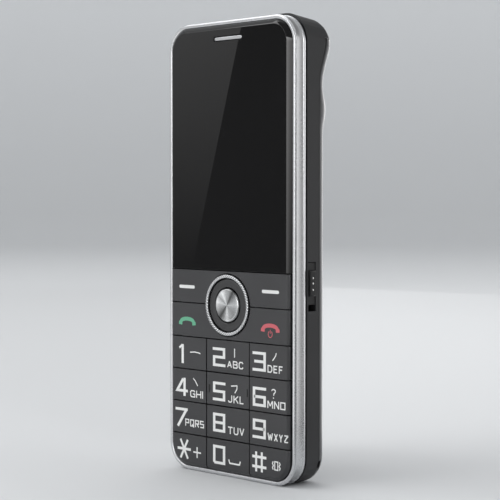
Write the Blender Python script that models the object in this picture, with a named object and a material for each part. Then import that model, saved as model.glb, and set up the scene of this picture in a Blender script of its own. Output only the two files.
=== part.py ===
# Big button mobile phone, modelled at its real size in separate pieces.
# X is the width, +Y points out of the back and +Z out of the top. It stands on z = 0.
# Depths are measured backwards from the face that the keys and the screen glass share.

import math

import bpy
import bmesh
from mathutils import Matrix, Vector

MM = 0.001

# The body and what its neighbours leave between them
BODY_WIDTH = 52.0 * MM
BODY_HEIGHT = 131.9 * MM
CORNER_RADIUS = 8.0 * MM
CLEARANCE = 0.3 * MM
SEAM = 0.25 * MM
OVERRUN = 2.0 * MM
MERGE_DISTANCE = 0.002 * MM
CORNER_STEPS = 8
BORE_SIDES = 16

# Silver frame round the front
FRAME_SETBACK = 1.1 * MM
FRAME_DEPTH = 4.1 * MM
FRAME_WALL = 1.25 * MM
FRAME_EDGE = 0.3 * MM

# Rear shell, with the hump at its top and the raised camera band under the hump
GROOVE_WIDTH = 0.6 * MM
SIDE_WALL_DEPTH = 4.9 * MM
SHELL_INSET = 0.2 * MM
SHELL_TOP_RISE = 0.8 * MM
HUMP_RISE = 3.1 * MM
HUMP_FOOT_BELOW_TOP = 18.9 * MM
HUMP_CREST_BELOW_TOP = 5.4 * MM
TOP_ROUNDING = 3.0 * MM
TOP_ROUNDING_LENGTH = 19.9 * MM
BAND_RISE = 1.4 * MM
BAND_BELOW_TOP = 26.3 * MM
BAND_HALF_HEIGHT = 6.75 * MM
BEND_STEP = 1.6 * MM

# Rear cover and the clips that hold it
COVER_FILLET = 3.0 * MM
COVER_FILLET_STEPS = 5
COVER_SKIRT = 0.15 * MM
COVER_SIDE_WALL = 1.2 * MM
COVER_BACK_WALL = 1.05 * MM
COVER_TOP_BELOW_TOP = 5.5 * MM
CLIP_THICKNESS = 0.8 * MM
CLIP_HEIGHT = 4.0 * MM
CLIP_REACH = 1.0 * MM
NAIL_NOTCH_RADIUS = 1.1 * MM
NAIL_NOTCH_Z = 5.6 * MM
NAIL_NOTCH_DEPTH = 0.9 * MM

# Housing walls, floor and pockets
TONGUE_WALL = 1.3 * MM
FLOOR_THICKNESS = 0.8 * MM
SHELL_WALL = 2.8 * MM
POCKET_CORNER = 5.2 * MM
RIB_THICKNESS = 1.2 * MM
SIM_POCKET_TOP = 34.4 * MM
SHELF_BELOW_TOP = 6.6 * MM
BATTERY_BAY_WALL = 4.6 * MM

# Screen glass and the earpiece slot in it
GLASS_THICKNESS = 1.2 * MM
GLASS_CHAMFER_WIDTH = 1.4 * MM
GLASS_CHAMFER_DEPTH = 1.0 * MM
EAR_SLOT_WIDTH = 11.6 * MM
EAR_SLOT_HEIGHT = 1.5 * MM
EAR_SLOT_BELOW_TOP = 5.3 * MM
GRILLE_SETBACK = 0.15 * MM
EARPIECE_WIDTH = 10.4 * MM
EARPIECE_HEIGHT = 4.8 * MM
EARPIECE_THICKNESS = 2.1 * MM

# Keypad grid, from the bottom row line up
KEY_THICKNESS = 1.9 * MM
KEY_GAP = 0.35 * MM
KEY_EDGE_GAP = 0.45 * MM
KEY_BOTTOM_GAP = 0.25 * MM
KEY_ROLL = 0.6 * MM
KEY_TRAVEL_ROOM = 0.5 * MM
BOTTOM_ROW_LINE = 10.87 * MM
NUMBER_ROW_PITCH = 9.667 * MM
ROOM_BELOW_RING = 1.185 * MM
ROOM_ABOVE_RING = 1.0 * MM
COLUMN_LINE = 8.92 * MM

# Navigation key: trim ring, rocker on its pivot ring, and the round button in its middle
RING_RADIUS = 8.9 * MM
RING_WALL = 1.05 * MM
RING_PROUD = 0.35 * MM
RING_BACK_GAP = 0.2 * MM
ROCKER_PROUD = 0.1 * MM
ROCKER_THICKNESS = 1.6 * MM
ROCKER_WALL = 2.35 * MM
ROCKER_GAP = 0.35 * MM
ROCKER_BACK_ROOM = 0.25 * MM
PIVOT_WALL = 0.9 * MM
PIVOT_THICKNESS = 0.35 * MM
BUTTON_PROUD = 0.45 * MM
BUTTON_EDGE = 0.3 * MM
ROUND_SIDES = 32

# Layers behind the keys
MAT_THICKNESS = 0.7 * MM
MAT_TOP_MARGIN = 1.9 * MM
PLUNGER_RADIUS = 1.3 * MM
PLUNGER_SIDES = 8
DOME_RADIUS = 2.1 * MM
DOME_HEIGHT = 0.2 * MM
DOME_GAP = 0.1 * MM
DOME_SHEET_THICKNESS = 0.15 * MM
CHASSIS_RAIL = 1.85 * MM
BOARD_THICKNESS = 0.9 * MM
BOARD_GAP = 0.5 * MM
BOARD_HIGH_CORNER = 2.0 * MM

# Display, between rails and a web of the chassis
DISPLAY_RAIL = 3.45 * MM
DISPLAY_WEB = 1.8 * MM
DISPLAY_THICKNESS = 2.15 * MM
DISPLAY_BAY_BELOW_TOP = 10.4 * MM
FLEX_WIDTH = 12.0 * MM
FLEX_HEIGHT = 1.9 * MM
FLEX_THICKNESS = 0.3 * MM
FLEX_BAY = 2.2 * MM

# Screws, from the rear pockets into the chassis
SCREW_RADIUS = 0.7 * MM
SCREW_HEAD_RADIUS = 1.3 * MM
SCREW_HEAD_HEIGHT = 0.9 * MM
SCREW_TIP_DEPTH = 3.0 * MM
SCREW_WALL = 0.7 * MM
SCREW_HIGH_INSET = 2.7 * MM
SCREW_HIGH_DROP = 1.7 * MM
BOSS_RADIUS = 1.7 * MM
BOSS_GAP = 0.4 * MM

# Battery and what stands beside it
BATTERY_SIDE_GAP = 0.4 * MM
BATTERY_BACK_GAP = 0.35 * MM
CONNECTOR_WIDTH = 10.0 * MM
CONNECTOR_HEIGHT = 2.2 * MM
CONNECTOR_SETBACK = 1.2 * MM
SIM_HOLDER_THICKNESS = 2.0 * MM
SIM_HOLDER_WALL = 0.35 * MM
SIM_TOP_GAP = 2.4 * MM
SIM_JACK_GAP = 1.8 * MM
SIM_MEMORY_GAP = 1.0 * MM
SIM_CARD_THICKNESS = 0.7 * MM
MEMORY_HOLDER_WIDTH = 12.6 * MM
MEMORY_HOLDER_DROP = 3.0 * MM
MEMORY_HOLDER_THICKNESS = 1.7 * MM

# Top pocket: camera, loudspeaker and vibration motor
CAMERA_SIZE = 8.5 * MM
CAMERA_WINDOW_GAP = 0.85 * MM
CAMERA_BARREL_RADIUS = 2.9 * MM
CAMERA_BARREL_LENGTH = 0.8 * MM
WINDOW_RADIUS = 3.2 * MM
WINDOW_THICKNESS = 0.7 * MM
WINDOW_SEAT = 0.35 * MM
WINDOW_LEDGE = 0.5 * MM
SPEAKER_HEIGHT = 11.0 * MM
SPEAKER_WALL_GAP = 3.5 * MM
SPEAKER_CAMERA_GAP = 1.25 * MM
SPEAKER_LOW_GAP = 4.4 * MM
MESH_THICKNESS = 0.25 * MM
SOUND_SLOT_MARGIN = 2.0 * MM
SOUND_SLOT_HEIGHT = 0.9 * MM
SOUND_SLOT_PITCH = 2.1 * MM
MOTOR_RADIUS = 2.1 * MM
MOTOR_LENGTH = 8.0 * MM
MOTOR_WALL_GAP = 4.9 * MM
MOTOR_BELOW_TOP = 13.4 * MM
MOTOR_FLAT_SHARE = 0.6
WEIGHT_RADIUS = 1.9 * MM
WEIGHT_LENGTH = 3.0 * MM
SHAFT_RADIUS = 0.4 * MM
SHAFT_OUT = 3.6 * MM

# Torch at the top end, its slide switch and the other small parts
TORCH_SETBACK = 3.7 * MM
TORCH_RADIUS = 2.3 * MM
TORCH_LENS_LENGTH = 2.9 * MM
TORCH_RECESS = 0.4 * MM
LED_LENGTH = 2.9 * MM
SLOT_BOTTOM = 49.2 * MM
SLOT_HEIGHT = 13.8 * MM
SLOT_SETBACK = 0.5 * MM
SLOT_WIDTH = 3.1 * MM
SLOT_CUT = 2.6 * MM
SLIDER_TRAVEL = 1.7 * MM
SLIDER_THICKNESS = 1.7 * MM
SLIDER_SIDE_GAP = 0.2 * MM
GRIP_HEIGHT = 7.3 * MM
GRIP_WIDTH = 2.2 * MM
GRIP_RISE = 0.8 * MM
GRIP_BELOW_TOP = 2.2 * MM
STEM_HEIGHT = 3.0 * MM
STEM_THICKNESS = 0.4 * MM
STEM_LENGTH = 1.2 * MM
STEM_WINDOW = 0.8 * MM
SWITCH_WIDTH = 2.1 * MM
SWITCH_HEIGHT = 8.0 * MM
PART_HEIGHT_ON_BOARD = 1.35 * MM
PART_GAP = 0.3 * MM
USB_WIDTH = 7.6 * MM
USB_HEIGHT = 2.6 * MM
USB_LENGTH = 5.6 * MM
USB_WALL = 0.4 * MM
USB_SETBACK = 0.6 * MM
USB_TONGUE = 0.6 * MM
JACK_SCREW_PITCH = 7.35 * MM
JACK_RADIUS = 2.1 * MM
JACK_LENGTH = 11.0 * MM
JACK_BORE = 1.75 * MM
JACK_SETBACK = 1.2 * MM
MIC_SCREW_PITCH = 7.35 * MM
MIC_RADIUS = 2.0 * MM
MIC_BOTTOM = 3.6 * MM
MIC_HOLE = 0.45 * MM
RADIO_CAN_WIDTH = 19.0 * MM
RADIO_CAN_HEIGHT = 24.0 * MM
RADIO_CAN_INSET = 2.65 * MM
RADIO_CAN_BOTTOM = 66.0 * MM
POWER_CAN_WIDTH = 17.0 * MM
POWER_CAN_HEIGHT = 22.0 * MM
POWER_CAN_INSET = 3.65 * MM
POWER_CAN_BOTTOM = 22.0 * MM
ANTENNA_SIDE_GAP = 1.6 * MM
ANTENNA_HEIGHT = 5.6 * MM
ANTENNA_BELOW_TOP = 4.2 * MM

# Depths that follow from those sizes, layer by layer
FRAME_BACK = FRAME_SETBACK + FRAME_DEPTH
SHELL_FRONT = FRAME_BACK + GROOVE_WIDTH
COVER_FRONT = SHELL_FRONT + SIDE_WALL_DEPTH + SEAM
COVER_SEAM_DEPTH = COVER_FRONT + COVER_SKIRT
BODY_THICKNESS = COVER_SEAM_DEPTH + COVER_FILLET
SHELL_BACK = BODY_THICKNESS + HUMP_RISE
BODY_REACH = BUTTON_PROUD + SHELL_BACK
FACE_Y = BUTTON_PROUD - BODY_REACH / 2
COVER_INNER_DEPTH = BODY_THICKNESS - COVER_BACK_WALL
BAND_DEPTH = BODY_THICKNESS + BAND_RISE
KEY_BACK = KEY_THICKNESS
MAT_FRONT = KEY_BACK + KEY_TRAVEL_ROOM
MAT_BACK = MAT_FRONT + MAT_THICKNESS
ROCKER_BACK = ROCKER_THICKNESS - ROCKER_PROUD
PIVOT_FRONT = ROCKER_BACK + ROCKER_BACK_ROOM
CHASSIS_FRONT = GLASS_THICKNESS + CLEARANCE
DISPLAY_BACK = CHASSIS_FRONT + DISPLAY_THICKNESS
CHASSIS_BACK_DEPTH = DISPLAY_BACK + CLEARANCE
TONGUE_FRONT = CHASSIS_BACK_DEPTH + CLEARANCE
BOARD_FRONT = CHASSIS_BACK_DEPTH + CLEARANCE
BOARD_BACK = BOARD_FRONT + BOARD_THICKNESS
SHEET_FRONT = BOARD_FRONT - CLEARANCE - DOME_SHEET_THICKNESS
PLUNGER_TIP = SHEET_FRONT - DOME_HEIGHT - DOME_GAP
PARTS_FRONT = BOARD_BACK + PART_GAP
PARTS_BACK = PARTS_FRONT + PART_HEIGHT_ON_BOARD
FLOOR_DEPTH = PARTS_BACK + CLEARANCE
FLOOR_BACK = FLOOR_DEPTH + FLOOR_THICKNESS
POCKET_SEAT = FLOOR_BACK + CLEARANCE
BATTERY_BACK = COVER_INNER_DEPTH - BATTERY_BACK_GAP
MESH_FRONT = COVER_INNER_DEPTH - CLEARANCE - MESH_THICKNESS
SPEAKER_BACK = MESH_FRONT - CLEARANCE
WINDOW_FRONT = BAND_DEPTH - WINDOW_SEAT - WINDOW_THICKNESS
CAMERA_TIP = WINDOW_FRONT - CAMERA_WINDOW_GAP
CAMERA_BACK = CAMERA_TIP - CAMERA_BARREL_LENGTH
MOTOR_DEPTH = POCKET_SEAT + MOTOR_RADIUS
TORCH_DEPTH = SHELL_FRONT + TORCH_SETBACK
SLOT_DEPTH = SHELL_FRONT + SLOT_SETBACK + SLOT_WIDTH / 2
JACK_DEPTH = SHELL_FRONT + SIDE_WALL_DEPTH / 2
USB_FRONT = SHELL_FRONT + 2 * CLEARANCE
MIC_HOLE_DEPTH = SHELL_FRONT + 2 * MIC_HOLE

# Half widths, outline corners and places across the width
HALF_WIDTH = BODY_WIDTH / 2
OPENING_HALF = HALF_WIDTH - FRAME_WALL
OPENING_CORNER = CORNER_RADIUS - FRAME_WALL
SHELL_HALF = HALF_WIDTH - SHELL_INSET
SHELL_CORNER = CORNER_RADIUS + SHELL_INSET
INNER_HALF = OPENING_HALF - CLEARANCE
INNER_CORNER = OPENING_CORNER - CLEARANCE
CAVITY_HALF = INNER_HALF - TONGUE_WALL
KEYPAD_HALF = OPENING_HALF - KEY_EDGE_GAP
KEY_CORNER = OPENING_CORNER - KEY_EDGE_GAP
RING_INNER = RING_RADIUS - RING_WALL
ROCKER_RADIUS = RING_INNER - CLEARANCE
ROCKER_HOLE = ROCKER_RADIUS - ROCKER_WALL
BUTTON_RADIUS = ROCKER_HOLE - ROCKER_GAP
MAT_HALF = INNER_HALF - CHASSIS_RAIL - CLEARANCE
BOARD_HALF = CAVITY_HALF - BOARD_GAP
DISPLAY_BAY_HALF = INNER_HALF - DISPLAY_RAIL
POCKET_HALF = SHELL_HALF - SHELL_WALL
BATTERY_BAY_HALF = SHELL_HALF - BATTERY_BAY_WALL
BATTERY_HALF = BATTERY_BAY_HALF - BATTERY_SIDE_GAP
CLIP_OUTER = POCKET_HALF - CLEARANCE
SIM_OUTER = CLIP_OUTER - CLIP_THICKNESS - 2 * CLEARANCE
SIM_INNER = MEMORY_HOLDER_WIDTH / 2 + SIM_MEMORY_GAP
SPEAKER_SPAN = (SPEAKER_WALL_GAP - POCKET_HALF, -CAMERA_SIZE / 2 - SPEAKER_CAMERA_GAP)
MOTOR_RIGHT = POCKET_HALF - MOTOR_WALL_GAP - SHAFT_OUT
MOTOR_LEFT = MOTOR_RIGHT - MOTOR_LENGTH
SCREW_HIGH_X = POCKET_HALF - SCREW_HIGH_INSET
ANTENNA_HALF = SCREW_HIGH_X - BOSS_RADIUS - ANTENNA_SIDE_GAP
SLIDER_INNER = SHELL_HALF - SLIDER_THICKNESS - SLIDER_SIDE_GAP
STEM_TIP = SLIDER_INNER - STEM_LENGTH

# Heights
SHELL_TOP = BODY_HEIGHT + SHELL_TOP_RISE
COVER_TOP = BODY_HEIGHT - COVER_TOP_BELOW_TOP
BAND_Z = BODY_HEIGHT - BAND_BELOW_TOP
OPENING_TOP = BODY_HEIGHT - FRAME_WALL
INNER_LOW = FRAME_WALL + CLEARANCE
INNER_HIGH = OPENING_TOP - CLEARANCE
POCKET_TOP = BODY_HEIGHT - SHELF_BELOW_TOP
TOP_POCKET_LOW = BAND_Z - SPEAKER_HEIGHT / 2 - SPEAKER_LOW_GAP
BATTERY_BOTTOM = SIM_POCKET_TOP + RIB_THICKNESS + CLEARANCE
BATTERY_BAY_TOP = TOP_POCKET_LOW - RIB_THICKNESS
BATTERY_TOP = BATTERY_BAY_TOP - BATTERY_SIDE_GAP
SIM_BOTTOM = JACK_SETBACK + JACK_LENGTH + SIM_JACK_GAP
SIM_TOP = SIM_POCKET_TOP - SIM_TOP_GAP
ROW_LINES = [BOTTOM_ROW_LINE + row * NUMBER_ROW_PITCH for row in range(4)]
CALL_LINE = ROW_LINES[-1]
NAV_Z = CALL_LINE + RING_RADIUS + ROOM_BELOW_RING
KEYPAD_TOP = NAV_Z + RING_RADIUS + ROOM_ABOVE_RING
KEYPAD_BOTTOM = FRAME_WALL + KEY_BOTTOM_GAP
MAT_TOP = KEYPAD_TOP - MAT_TOP_MARGIN
MAT_LOW = INNER_LOW + CHASSIS_RAIL
GLASS_BOTTOM = KEYPAD_TOP + KEY_GAP / 2
EAR_Z = BODY_HEIGHT - EAR_SLOT_BELOW_TOP
DISPLAY_BAY_TOP = BODY_HEIGHT - DISPLAY_BAY_BELOW_TOP
DISPLAY_BAY_BOTTOM = KEYPAD_TOP + KEY_GAP + DISPLAY_WEB
DISPLAY_TOP = DISPLAY_BAY_TOP - CLEARANCE
DISPLAY_BOTTOM = DISPLAY_BAY_BOTTOM + FLEX_BAY + CLEARANCE
SCREW_HIGH_Z = POCKET_TOP - SCREW_HIGH_DROP
BOARD_LOW = INNER_LOW + TONGUE_WALL + BOARD_GAP
BOARD_TOP = SCREW_HIGH_Z - BOSS_RADIUS - BOSS_GAP
SLOT_TOP = SLOT_BOTTOM + SLOT_HEIGHT
SLIDER_TOP = SLOT_TOP - SLIDER_SIDE_GAP / 2
SLIDER_BOTTOM = SLOT_BOTTOM + SLIDER_SIDE_GAP / 2 + SLIDER_TRAVEL
SLIDER_Z = (SLIDER_TOP + SLIDER_BOTTOM) / 2
MOTOR_Z = BODY_HEIGHT - MOTOR_BELOW_TOP

# Low screws: their heads sit in the pocket's round corners, clear of the wall
SCREW_BORE = SCREW_RADIUS + CLEARANCE
HEAD_INSET = POCKET_CORNER - (POCKET_CORNER - SCREW_HEAD_RADIUS - CLEARANCE) * math.sqrt(0.5)
SCREW_LOW_X = POCKET_HALF - HEAD_INSET
SCREW_LOW_Z = SHELL_WALL + HEAD_INSET
JACK_X = SCREW_LOW_X - JACK_SCREW_PITCH
MIC_X = MIC_SCREW_PITCH - SCREW_LOW_X
SCREW_PLACES = [(side * SCREW_LOW_X, SCREW_LOW_Z) for side in (-1, 1)]
SCREW_PLACES += [(side * SCREW_HIGH_X, SCREW_HIGH_Z) for side in (-1, 1)]

# Finishes: linear colour, roughness, metallic
FINISHES = {
    "silver_paint": ((0.62, 0.62, 0.63), 0.30, 0.85),
    "brushed_silver": ((0.70, 0.70, 0.70), 0.28, 1.0),
    "dark_key_plastic": ((0.060, 0.060, 0.062), 0.42, 0.0),
    "black_glass": ((0.012, 0.012, 0.013), 0.06, 0.0),
    "dark_housing_plastic": ((0.045, 0.045, 0.047), 0.50, 0.0),
    "black_plastic": ((0.015, 0.015, 0.016), 0.55, 0.0),
    "grey_silicone": ((0.25, 0.25, 0.26), 0.70, 0.0),
    "clear_sheet": ((0.60, 0.62, 0.62), 0.35, 0.0),
    "board_green": ((0.015, 0.13, 0.05), 0.45, 0.0),
    "tinned_steel": ((0.55, 0.55, 0.54), 0.35, 1.0),
    "clear_lens": ((0.80, 0.82, 0.84), 0.08, 0.0),
    "led_yellow": ((0.75, 0.60, 0.15), 0.40, 0.0),
    "battery_wrap": ((0.55, 0.56, 0.58), 0.45, 0.0),
    "flex_amber": ((0.45, 0.20, 0.04), 0.40, 0.0),
    "card_white": ((0.72, 0.72, 0.70), 0.50, 0.0),
}


def clear_scene():
    for old in list(bpy.data.objects):
        bpy.data.objects.remove(old, do_unlink=True)


def finish_material(name):
    if name in bpy.data.materials:
        return bpy.data.materials[name]
    colour, roughness, metallic = FINISHES[name]
    made = bpy.data.materials.new(name)
    made.use_nodes = True
    shader = made.node_tree.nodes["Principled BSDF"]
    shader.inputs["Base Color"].default_value = (*colour, 1.0)
    shader.inputs["Roughness"].default_value = roughness
    shader.inputs["Metallic"].default_value = metallic
    return made


def around(centre, size):
    return (centre - size / 2, centre + size / 2)


def both_sides(half):
    return (-half, half)


def at(x, depth, z):
    return Vector((x, FACE_Y + depth, z))


def to_object(name, bm):
    if bm.calc_volume(signed=True) < 0:
        bmesh.ops.reverse_faces(bm, faces=bm.faces[:])
    mesh = bpy.data.meshes.new(name)
    bm.to_mesh(mesh)
    bm.free()
    made = bpy.data.objects.new(name, mesh)
    bpy.context.scene.collection.objects.link(made)
    return made


def piece(made, finish, origin=None):
    """Give a finished piece its material, smooth shading and its origin."""
    made.data.materials.clear()
    made.data.materials.append(finish_material(finish))
    made.data.shade_smooth()
    made.data.set_sharp_from_angle(angle=math.radians(35.0))
    if origin is not None:
        made.data.transform(Matrix.Translation(-origin))
        made.location = origin
    return made


def combine(target, tool, operation):
    tool.hide_render = True
    tool.display_type = "WIRE"
    tool.hide_set(True)
    step = target.modifiers.new(operation.title() + " " + tool.name, "BOOLEAN")
    step.operation = operation
    step.object = tool
    return target


def cut(target, *tools):
    for tool in tools:
        combine(target, tool, "DIFFERENCE")


def join(target, *tools):
    for tool in tools:
        combine(target, tool, "UNION")


def block_mesh(x_span, depth_span, z_span, low_corner=0.0, high_corner=0.0):
    """A box whose edges that run front to back are rounded, the low and high pair apart."""
    low = at(x_span[0], depth_span[0], z_span[0])
    high = at(x_span[1], depth_span[1], z_span[1])
    bm = bmesh.new()
    bmesh.ops.create_cube(bm, size=1.0)
    bmesh.ops.scale(bm, vec=high - low, verts=bm.verts)
    bmesh.ops.translate(bm, vec=(high + low) / 2, verts=bm.verts)
    middle = (low.z + high.z) / 2
    for radius, is_low in ((low_corner, True), (high_corner, False)):
        if radius > 0:
            run = [e for e in bm.edges if abs((e.verts[0].co - e.verts[1].co).y) > 0
                   and e.verts[0].co.z == e.verts[1].co.z and (e.verts[0].co.z < middle) == is_low]
            run = [e for e in run if e.verts[0].co.x == e.verts[1].co.x]
            bmesh.ops.bevel(bm, geom=run, offset=radius, offset_type="OFFSET", affect="EDGES",
                            segments=CORNER_STEPS, profile=0.5, material=-1)
    return bm


def block(name, x_span, depth_span, z_span, low_corner=0.0, high_corner=0.0):
    return to_object(name, block_mesh(x_span, depth_span, z_span, low_corner, high_corner))


def end_face(bm, back=False):
    """The flat face at the front or the back end of a block."""
    ends = [f for f in bm.faces if abs(f.normal.y) > 0.99]
    pick = max if back else min
    return pick(ends, key=lambda f: f.calc_center_median().y)


def round_edges(bm, edges, radius, steps):
    bmesh.ops.bevel(bm, geom=list(edges), offset=radius, offset_type="OFFSET", affect="EDGES",
                    segments=steps, profile=0.5, material=-1)


def rod(name, start, end, radius, sides=BORE_SIDES, end_radius=None):
    """A round bar from one point to another, straight or tapered."""
    run = end - start
    bm = bmesh.new()
    bmesh.ops.create_cone(bm, cap_ends=True, segments=sides, radius1=radius,
                          radius2=radius if end_radius is None else end_radius, depth=run.length)
    turn = run.to_track_quat("Z", "Y").to_matrix().to_4x4()
    bm.transform(Matrix.Translation((start + end) / 2) @ turn)
    return to_object(name, bm)


def bore(name, x, z, depth_span, radius, sides=BORE_SIDES):
    """A round bar that runs front to back."""
    return rod(name, at(x, depth_span[0], z), at(x, depth_span[1], z), radius, sides)


def turned(name, x, z, profile, sides=ROUND_SIDES):
    """Spin a closed profile of (radius, depth) points about an axis that runs front to back."""
    bm = bmesh.new()
    points = [bm.verts.new(at(x + radius, depth, z)) for radius, depth in profile]
    edges = [bm.edges.new((a, b)) for a, b in zip(points, points[1:] + points[:1])]
    bmesh.ops.spin(bm, geom=points + edges, cent=at(x, 0.0, z), axis=(0, 1, 0),
                   angle=2 * math.pi, steps=sides, use_merge=True)
    bmesh.ops.remove_doubles(bm, verts=bm.verts, dist=MERGE_DISTANCE)
    bmesh.ops.recalc_face_normals(bm, faces=bm.faces[:])
    return to_object(name, bm)


def corner_past_screw(half, low, room):
    """The corner radius that leaves this room between a plate's rounded corner and a low screw."""
    aside = half - SCREW_LOW_X
    above = SCREW_LOW_Z - low
    total = aside + above + room
    return total + math.sqrt(total ** 2 + room ** 2 - aside ** 2 - above ** 2)


# The rear shell's surface

def ease(value):
    value = min(max(value, 0.0), 1.0)
    return value * value * (3 - 2 * value)


def bend(bm):
    """Raise the hump and the camera band out of a flat back, and round the top end over."""
    foot = BODY_HEIGHT - HUMP_FOOT_BELOW_TOP
    crest = BODY_HEIGHT - HUMP_CREST_BELOW_TOP
    rounding_foot = BODY_HEIGHT - TOP_ROUNDING_LENGTH
    for vert in bm.verts:
        depth = vert.co.y - FACE_Y
        z = vert.co.z
        side_share = min(max((depth - SHELL_FRONT) / (COVER_SEAM_DEPTH - SHELL_FRONT), 0.0), 1.0)
        back_share = min(max((depth - COVER_SEAM_DEPTH) / COVER_FILLET, 0.0), 1.0)
        band_share = min(abs(z - BAND_Z) / BAND_HALF_HEIGHT, 1.0)
        band = BAND_RISE * math.cos(math.pi / 2 * band_share) ** 2
        depth += HUMP_RISE * ease((z - foot) / (crest - foot)) * side_share + band * back_share
        along = min(max((depth - SHELL_FRONT) / (SHELL_BACK - SHELL_FRONT), 0.0), 1.0)
        lean = max((z - rounding_foot) / (BODY_HEIGHT - rounding_foot), 0.0)
        vert.co.y = FACE_Y + depth
        vert.co.z = z - TOP_ROUNDING * (1 - math.sqrt(1 - along * along)) * min(lean, 1.0)


def shell_form(name, inset, front, back, fillet=0.0, top=None):
    """The rear shell's outline, drawn in by inset, from one depth to another, hump included."""
    half = SHELL_HALF - inset
    corner = SHELL_CORNER - inset
    bm = block_mesh(both_sides(half), (front, back), (inset, SHELL_TOP - inset), corner, corner)
    if fillet > 0:
        round_edges(bm, end_face(bm, back=True).edges, fillet, COVER_FILLET_STEPS)
    level = BAND_Z - BAND_HALF_HEIGHT
    while level < SHELL_TOP - inset:
        everything = bm.verts[:] + bm.edges[:] + bm.faces[:]
        bmesh.ops.bisect_plane(bm, geom=everything, plane_co=at(0.0, 0.0, level), plane_no=(0, 0, 1))
        level += BEND_STEP
    if top is not None:
        everything = bm.verts[:] + bm.edges[:] + bm.faces[:]
        bmesh.ops.bisect_plane(bm, geom=everything, plane_co=at(0.0, 0.0, top), plane_no=(0, 0, 1),
                               clear_outer=True)
        bmesh.ops.holes_fill(bm, edges=[e for e in bm.edges if e.is_boundary], sides=0)
    bend(bm)
    return to_object(name, bm)


# Outside pieces

def make_frame():
    bm = block_mesh(both_sides(HALF_WIDTH), (FRAME_SETBACK, FRAME_BACK), (0.0, BODY_HEIGHT),
                    CORNER_RADIUS, CORNER_RADIUS)
    round_edges(bm, end_face(bm).edges, FRAME_EDGE, 1)
    round_edges(bm, end_face(bm, back=True).edges, FRAME_EDGE, 1)
    frame = to_object("bezel_frame", bm)
    cut(frame, block("frame opening", both_sides(OPENING_HALF), (0.0, FRAME_BACK + OVERRUN),
                     (FRAME_WALL, OPENING_TOP), OPENING_CORNER, OPENING_CORNER))
    piece(frame, "silver_paint")


def make_front_lens():
    bm = block_mesh(both_sides(INNER_HALF), (0.0, GLASS_THICKNESS), (GLASS_BOTTOM, INNER_HIGH),
                    0.0, INNER_CORNER)
    face = end_face(bm)
    bmesh.ops.inset_region(bm, faces=[face], thickness=GLASS_CHAMFER_WIDTH, use_even_offset=True)
    flat = set(face.verts)
    for edge in {edge for vert in flat for edge in vert.link_edges}:
        for vert in edge.verts:
            if vert not in flat:
                vert.co.y = FACE_Y + GLASS_CHAMFER_DEPTH
    lowest = min(vert.co.z for vert in flat)
    for vert in flat:
        if vert.co.z == lowest:
            vert.co.z = GLASS_BOTTOM
    glass = to_object("front_lens", bm)
    cut(glass, block("earpiece slot", both_sides(EAR_SLOT_WIDTH / 2), (-OVERRUN, CHASSIS_FRONT),
                     around(EAR_Z, EAR_SLOT_HEIGHT)))
    piece(glass, "black_glass")
    grille = block("earpiece_grille", both_sides(EAR_SLOT_WIDTH / 2 - CLEARANCE),
                   (GRILLE_SETBACK, GLASS_THICKNESS), around(EAR_Z, EAR_SLOT_HEIGHT - 2 * CLEARANCE))
    piece(grille, "silver_paint")


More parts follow.
